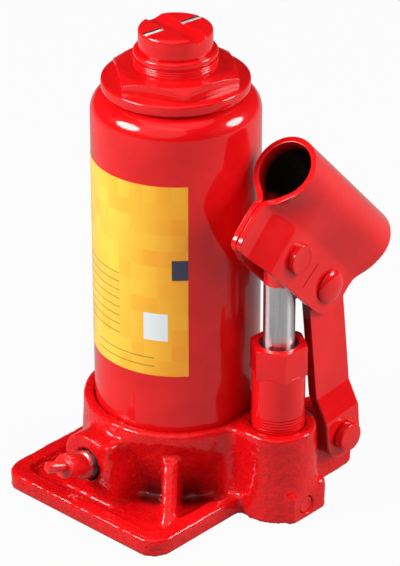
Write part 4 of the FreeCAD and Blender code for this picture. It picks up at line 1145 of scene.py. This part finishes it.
def sheet_rows():
    """Rows of one half: ('arc', share), ('wall', share) or ('ear', height), from the top to the foot."""
    round_top = EAR_FOOT - REAR_ROUND
    rows = [("arc", step / ARC_ROWS) for step in range(ARC_ROWS + 1)]
    rows += [("wall", step / WALL_ROWS) for step in range(1, WALL_ROWS + 1)]
    rows += [("ear", -THROAT - (round_top - THROAT) * step / EAR_ROWS) for step in range(1, EAR_ROWS + 1)]
    rows += [("ear", -round_top - REAR_ROUND * math.sin(math.radians(angle))) for angle in ROUND_ANGLES]
    return rows


def sheet_point(row, share):
    """Middle of the sheet for one row at a share of the way from the front edge to the rear edge."""
    kind, value = row
    rough_height = {"arc": 0.0, "wall": -WALL_START - (THROAT - WALL_START) * value, "ear": value}[kind]
    front, rear = front_at(rough_height), rear_at(rough_height)
    along = front + (rear - front) * share
    width = PINCHED_W + (EAR_W - PINCHED_W) * ease(along / PINCH_RUN)
    lean = math.atan2(-THROAT, width) + math.acos(MID_R / math.hypot(width, THROAT))
    touch = (MID_R * math.cos(lean), MID_R * math.sin(lean))
    if kind == "arc":
        angle = math.pi / 2 + (lean - math.pi / 2) * value
        return MID_R * math.cos(angle), along, MID_R * math.sin(angle)
    if kind == "wall":
        return touch[0] + (width - touch[0]) * value, along, touch[1] + (-THROAT - touch[1]) * value
    return width, along, value


print("rows of one half:", len(sheet_rows()))

# %% [markdown]
# The grid's columns lie closer together near the mouth, where the walls bend most. Solidify then gives
# the sheet its thickness, and a rounded rim shows the thick paint on its edge. The rows near the ears'
# feet keep some distance, because a bevel can't be wider than the faces beside it.

# %% Bend the sheet
COLUMNS, MOUTH_SPACING, RIM_ROUND = 34, 0.55, 0.8


def bent_sheet():
    half = sheet_rows()
    rows = [(row, -1) for row in reversed(half)] + [(row, 1) for row in half[1:]]
    sheet = start_mesh(bpy.ops.mesh.primitive_grid_add, "bent_socket", x_subdivisions=COLUMNS - 1,
                       y_subdivisions=len(rows) - 1, size=1)
    for vertex in sheet.data.vertices:
        column = round((vertex.co.x + 0.5) * (COLUMNS - 1))
        row, side = rows[round((vertex.co.y + 0.5) * (len(rows) - 1))]
        share = column / (COLUMNS - 1)
        share = share * (MOUTH_SPACING + (1 - MOUTH_SPACING) * share)
        across, along, height = sheet_point(row, share)
        vertex.co = Vector((side * across, along, height)) * MM
    return sheet


socket = bent_sheet()
open_mesh(socket)
bpy.ops.mesh.normals_make_consistent(inside=False)
close_mesh()
apply_modifier(socket, "SOLIDIFY", thickness=SHEET * MM, offset=0.0, use_even_offset=True)
apply_modifier(socket, "BEVEL", width=RIM_ROUND * MM, segments=3, limit_method="ANGLE",
               angle_limit=math.radians(60))
apply_modifier(socket, "SUBSURF", levels=1, render_levels=1)
print("sheet points:", len(socket.data.vertices))

# %% [markdown]
# The press has left a short line across the near ear, halfway between the pins. A thin blade cuts it. The
# spray gun did not reach far into the tube, so a few millimetres behind the mouth the finish loses its
# coat and turns nearly black, which is painted shade in the hollow. A Mapping node lays the pattern's axes
# along the tube, and two shapes say what is inside: the round bore, and the wedge between the two walls
# below it.

# %% Press line and place
PIN_HEIGHT = middle_of("plunger_pin")[2]
TILT, REACH, DROP = 46.3, 21.6, 23.3
TILT_SIN, TILT_COS = math.sin(math.radians(TILT)), math.cos(math.radians(TILT))
MOUTH = (PUMP_X, PUMP_Y + DROP * TILT_SIN - REACH * TILT_COS, PIN_HEIGHT + DROP * TILT_COS + REACH * TILT_SIN)
BLADE_SIZE, BLADE_AT, BLADE_TURN = (0.7, 0.55, 10.4), (8.6, 33.2, -25.0), (-6, 0, 0)
cut_with(socket, block("press_blade", BLADE_SIZE, BLADE_AT, BLADE_TURN))
smooth(socket, angle=45)
settle(socket, at=MOUTH, turn=(-TILT, 0, 0))
print("mouth at %.1f, %.1f, %.1f mm" % MOUTH)

# %% Socket finish
# nearly black inside the socket: no coat where the spray did not reach, and painted shade in the hollow
SOCKET_DEPTH, WALL_NORMAL, UNPAINTED_AND_SHADED = 0.18, (0.681, -0.7325), (0.012, 0.006, 0.006, 1)
# where each mask is 0 and where it is 1, in millimetres
BORE_EDGE, WALL_EDGE, WEDGE_TOP, SPRAY_END = (11.2, 10.6), (11.0, 10.5), (-7.5, -8.5), (0.6, 6.0)


def socket_enamel():
    finish, tree, shader = enamel("socket_red_enamel", COARSE_PEEL, SOCKET_DEPTH)
    laid = place_node(tree, "Mapping", {"vector_type": "TEXTURE"}, Vector=own_place(tree),
                      Location=Vector(MOUTH) * MM, Rotation=(-math.radians(TILT), 0, 0)).outputs[0]
    across, along, height = split(tree, laid)
    bore = mask_between(tree, distance(tree, across, height), *BORE_EDGE)
    wall = sums(tree, "MULTIPLY_ADD", sums(tree, "ABSOLUTE", across), WALL_NORMAL[0],
                product(tree, height, WALL_NORMAL[1]))
    wedge = product(tree, mask_between(tree, wall, *WALL_EDGE), mask_between(tree, height, *WEDGE_TOP))
    inside = product(tree, sums(tree, "MAXIMUM", bore, wedge), mask_between(tree, along, *SPRAY_END))
    # painted shade: the inside of the bore and the wedge turn nearly black
    tint(tree, shader, inside, UNPAINTED_AND_SHADED)
    tree.links.new(sums(tree, "MULTIPLY_ADD", inside, -COAT, COAT), shader.inputs["Coat Weight"])
    return finish


dress(socket, socket_enamel(), "socket", "red_paint", "handle_socket")

# %% [markdown]
# ## Pins
# The plunger pin has a flat round head, the link pin a low dome, and the base pin a thick round head.
# Each is a lathe profile turned onto its side, because a lathe is what makes a real pin.

# %% Pins
PIN_BACK = box_of("plunger_pin")[0][0] - PUMP_X
EAR_FACE, PIN_R, PITCH = 8.6, 4.0, 24.9
HEAD_R, HEAD, HOLLOW_R, HOLLOW_FLOOR_R, HOLLOW_RISE = 5.5, 2.4, 4.3, 4.1, 2.25
DOME_R, DOME_EDGE, DOME, DOME_STEPS = 6.3, 0.7, 2.1, 10
BASE_PIN_BACK = box_of("base_pin")[0][0] - PUMP_X
BASE_PIN_R, LUG_FACE, BASE_HEAD = 4.5, 11.7, 3.5
BASE_PIN_AT = (PUMP_X, *middle_of("base_pin")[1:])


def side_pin(name, profile, at):
    """Turn a profile along Z, then lay it along X at its place."""
    pin = lathe(name, profile, steps=48)
    soft_edges(pin, width=0.55, angle=28)
    return settle(pin, at=at, turn=(0, 90, 0))


plunger_pin = side_pin(
    "plunger_pin_turned",
    [(0, PIN_BACK), (PIN_R, PIN_BACK), (PIN_R, EAR_FACE), (HEAD_R, EAR_FACE), (HEAD_R, EAR_FACE + HEAD),
     (HOLLOW_R, EAR_FACE + HEAD), (HOLLOW_FLOOR_R, EAR_FACE + HOLLOW_RISE), (0, EAR_FACE + HOLLOW_RISE)],
    (PUMP_X, PUMP_Y, PIN_HEIGHT))
dress(plunger_pin, thick_red, "socket", "red_paint", "plunger_pin")
dome = [(DOME_R * math.cos(a), EAR_FACE + DOME_EDGE + DOME * math.sin(a))
        for a in [math.radians(90 * step / DOME_STEPS) for step in range(DOME_STEPS)]]
link_pin = side_pin(
    "link_pin_turned",
    [(0, PIN_BACK), (PIN_R, PIN_BACK), (PIN_R, EAR_FACE), (DOME_R, EAR_FACE), *dome,
     (0, EAR_FACE + DOME_EDGE + DOME)],
    (PUMP_X, PUMP_Y + PITCH * TILT_COS, PIN_HEIGHT - PITCH * TILT_SIN))
dress(link_pin, thick_red, "socket", "red_paint", "link_pin")
base_pin = side_pin(
    "base_pin_turned",
    [(0, BASE_PIN_BACK), (BASE_PIN_R, BASE_PIN_BACK), (BASE_PIN_R, LUG_FACE), (HEAD_R, LUG_FACE),
     (HEAD_R, LUG_FACE + BASE_HEAD), (0, LUG_FACE + BASE_HEAD)],
    BASE_PIN_AT)
dress(base_pin, thick_red, "base", "red_paint", "base_pin")

# %% [markdown]
# ## Link
# The link is a flat bar with a step, so a copy of its solid gets its flat faces merged and its edges and
# bends rounded. Weighted normals keep the large faces flat, so the slanted part mirrors the dark cloth
# and not the floor. Its edge that faces forward beside the pump gets painted shade: a face attribute
# marks that edge, and the finish makes it a darker red.

# %% Link
# a dark red of painted shade for the link's forward edge
SHADED_EDGE_RED, FACING_PUMP = (0.22, 0.001, 0.002, 1), -0.5
link = copy_of("link_plate", "link_bar")
apply_modifier(link, "DECIMATE", decimate_type="DISSOLVE", angle_limit=math.radians(3))
soft_edges(link, width=0.8, segments=4, angle=15)
apply_modifier(link, "WEIGHTED_NORMAL", mode="FACE_AREA", keep_sharp=True)
shaded_edge = link.data.attributes.new("shaded_edge", "FLOAT", "FACE")
# mark the faces that face forward, which get painted shade
for face in link.data.polygons:
    shaded_edge.data[face.index].value = 1.0 if face.normal.y < FACING_PUMP else 0.0


def shaded_edge_enamel():
    """Smooth enamel with painted shade, a darker red, on the edge that faces forward beside the pump."""
    finish, tree, shader = enamel("link_red_enamel", FINE_PEEL, FINE_DEPTH)
    edge_shade_mask = place_node(tree, "Attribute", {"attribute_name": "shaded_edge"}).outputs["Fac"]
    # painted shade on the marked edge
    tint(tree, shader, edge_shade_mask, SHADED_EDGE_RED)
    return finish


dress(link, shaded_edge_enamel(), "link", "red_paint", "link_plate")

# %% [markdown]
# ## Release valve
# The valve screw comes out of the nose at a slant. Its last threads are bare and oily dark, then a neck,
# a round head and a thin tip follow. The threads are rings in the profile, as on the extension screw.

# %% Release valve
VALVE_FOOT, VALVE_SLANT = Vector((-5.4, -43.0, 17.5)), 21.0
VALVE_R, VALVE_DEPTH, VALVE_START, VALVE_PITCH, VALVE_RINGS = 5.4, 0.6, -1.2, 1.05, 4
VALVE_ROOT = VALVE_R - VALVE_DEPTH
VALVE_RING = [(VALVE_ROOT, 0), (VALVE_R, 0.45 * VALVE_PITCH), (VALVE_ROOT, 0.9 * VALVE_PITCH)]
SHAFT_R, SHAFT_END, NECK_R, NECK_FOOT, NECK_TOP, BALL_R, BALL_TOP = 5.3, -16.0, 4.0, 3.1, 8.4, 4.5, 12.6
TIP_R, TIP_TOP, TIP_EDGE_R, TIP_EDGE, TIP_END = 2.1, 20.6, 1.5, 21.4, 21.6
BARE_THREAD = 0.6
OILY_STEEL, OILY_SHADE, OILY_MARKS = (0.16, 0.10, 0.09, 1), (0.05, 0.03, 0.03, 1), (1200, 1200, 1200)
valve_rings = repeat(VALVE_RING, VALVE_START, VALVE_PITCH, VALVE_RINGS)
valve_profile = [(0, SHAFT_END), (SHAFT_R, SHAFT_END), (SHAFT_R, VALVE_START), *valve_rings,
                 (NECK_R, NECK_FOOT), (NECK_R, NECK_TOP), (BALL_R, NECK_TOP), (BALL_R, BALL_TOP),
                 (TIP_R, BALL_TOP), (TIP_R, TIP_TOP), (TIP_EDGE_R, TIP_EDGE), (0, TIP_END)]
valve = lathe("valve_screw", valve_profile, steps=48)
soft_edges(valve, width=0.55, angle=50)
settle(valve, at=VALVE_FOOT, turn=(90 - VALVE_SLANT, 0, 0))
outwards = Vector((0, -math.cos(math.radians(VALVE_SLANT)), math.sin(math.radians(VALVE_SLANT))))
valve_finish = half_sprayed("valve_thread_steel", OILY_STEEL, OILY_SHADE, OILY_MARKS, outwards,
                            start=outwards.dot(VALVE_FOOT) + BARE_THREAD, width=2.6, ragged=2.5)
dress(valve, valve_finish, "release_valve", "red_paint", "release_valve_screw")

# %% [markdown]
# ## Pieces that keep their solids
# Seals, clips, balls, springs and the pieces inside the tube keep their CAD shapes. Each gets the finish
# of what it is made of.

# %% Pieces that keep their solids
KEPT = {
    thick_red: ["socket_pin_clips", "base_pin_clip"],
    rod_steel: ["pump_plunger"],
    turned_steel: ["ram_cylinder", "suction_ball", "delivery_ball", "overload_ball", "overload_spring",
                   "release_valve_ball", "ram_seal_washer", "ram_seal_nut"],
    brass: ["oil_strainer"],
    rubber: ["tube_base_gasket", "tube_top_gasket", "filler_plug", "cylinder_gasket", "top_nut_seal",
             "pump_cylinder_gasket", "pump_gland_seal", "plunger_seal", "ram_cup_seal", "release_valve_seal"],
}
for finish, names in KEPT.items():
    for name in names:
        for material_slot in nodes[name].material_slots:
            material_slot.material = finish
print("solids kept:", sum(len(names) for names in KEPT.values()))

# %% [markdown]
# ## Label
# A printed foil is glued round the front of the tube. It could be a pattern in the tube's own enamel, but
# a foil has its own edge and its own gloss, so it is a grid wrapped on the tube. Its UV map runs round
# the tube and up. The print is plain: a mosaic of squares that goes from yellow to orange, a dark band at
# the edge, a blank pale panel and empty rules.

# %% Label print
YELLOW, ORANGE = (0.95, 0.65, 0.060, 1), (0.97, 0.45, 0.020, 1)
DEEP_YELLOW, DEEP_ORANGE = (0.94, 0.53, 0.034, 1), (0.96, 0.34, 0.012, 1)
RULE_BROWN, BAND_DARK, PANEL_PALE = (0.30, 0.13, 0.02, 1), (0.04, 0.035, 0.075, 1), (0.80, 0.86, 0.88, 1)
# left, right, low and high edge, as shares of the label
RULED_FIELDS = ((0.30, 0.66, 0.16, 0.52), (0.50, 0.84, 0.04, 0.12))
BAND, PANEL = (0.925, 1.0, 0.515, 0.62), (0.79, 0.905, 0.19, 0.335)
RULES_PER_LABEL, RULE_WIDTH, RULE_INK = 22.0, 0.16, 0.6
FADE_START, FADE_END, FOIL_COAT, FOIL_COAT_ROUGHNESS = 0.62, 0.93, 0.3, 0.08


def printed(tree, across, up, left, right, low, high):
    """Mask of an upright rectangle in the label's own coordinates."""
    return product(tree, sums(tree, "GREATER_THAN", across, left), sums(tree, "LESS_THAN", across, right),
                   sums(tree, "GREATER_THAN", up, low), sums(tree, "LESS_THAN", up, high))


def label_foil():
    finish, tree, shader = new_finish("label_foil")
    uv = place_node(tree, "UVMap").outputs["UV"]
    across, up = split(tree, uv)[:2]
    squares = place_node(tree, "TexBrick", {"offset": 0.0, "squash": 1.0}, Vector=uv, Color1=(0, 0, 0, 1),
                         Color2=WHITE, Mortar=(0.5, 0.5, 0.5, 1), Scale=1.0, Mortar_Size=0.0,
                         Brick_Width=0.066, Row_Height=0.0833).outputs["Color"]
    fade = ramp(tree, across, FADE_START, FADE_END)
    paler = mix_colour(tree, fade, YELLOW, ORANGE)
    deeper = mix_colour(tree, fade, DEEP_YELLOW, DEEP_ORANGE)
    tree.links.new(mix_colour(tree, squares, deeper, paler), shader.inputs["Base Color"])
    lines = sums(tree, "LESS_THAN", sums(tree, "FRACT", product(tree, up, RULES_PER_LABEL)), RULE_WIDTH)
    for field in RULED_FIELDS:
        tint(tree, shader, product(tree, lines, printed(tree, across, up, *field), RULE_INK), RULE_BROWN)
    tint(tree, shader, printed(tree, across, up, *BAND), BAND_DARK)
    tint(tree, shader, printed(tree, across, up, *PANEL), PANEL_PALE)
    skin = use_group(tree, film, Patch_Scale=60.0, Peel_Scale=300.0, Least_Roughness=0.28,
                     Most_Roughness=0.38)
    tree.links.new(skin.outputs["Roughness"], shader.inputs["Roughness"])
    shader.inputs["Coat Weight"].default_value = FOIL_COAT
    shader.inputs["Coat Roughness"].default_value = FOIL_COAT_ROUGHNESS
    return finish


foil = label_foil()
print("finish:", foil.name)

# %% Label
LABEL_FOOT, LABEL_HEIGHT, LABEL_START, LABEL_TURN = 56.1, 76.1, -185, 146
LABEL_COLUMNS, LABEL_ROWS, FOIL, GLUE = 60, 14, 0.08, 0.06
LABEL_R = TUBE_R + GLUE


def wrap_label():
    wrapped = start_mesh(bpy.ops.mesh.primitive_grid_add, "label_wrap", x_subdivisions=LABEL_COLUMNS,
                         y_subdivisions=LABEL_ROWS, size=1, calc_uvs=True)
    for vertex in wrapped.data.vertices:
        angle = math.radians(LABEL_START + (vertex.co.x + 0.5) * LABEL_TURN)
        height = LABEL_FOOT + (vertex.co.y + 0.5) * LABEL_HEIGHT
        vertex.co = Vector((LABEL_R * math.cos(angle), LABEL_R * math.sin(angle), height)) * MM
    apply_modifier(wrapped, "SOLIDIFY", thickness=FOIL * MM, offset=0.0)
    smooth(wrapped)
    return wrapped


dress(wrap_label(), foil, "base", "red_paint")
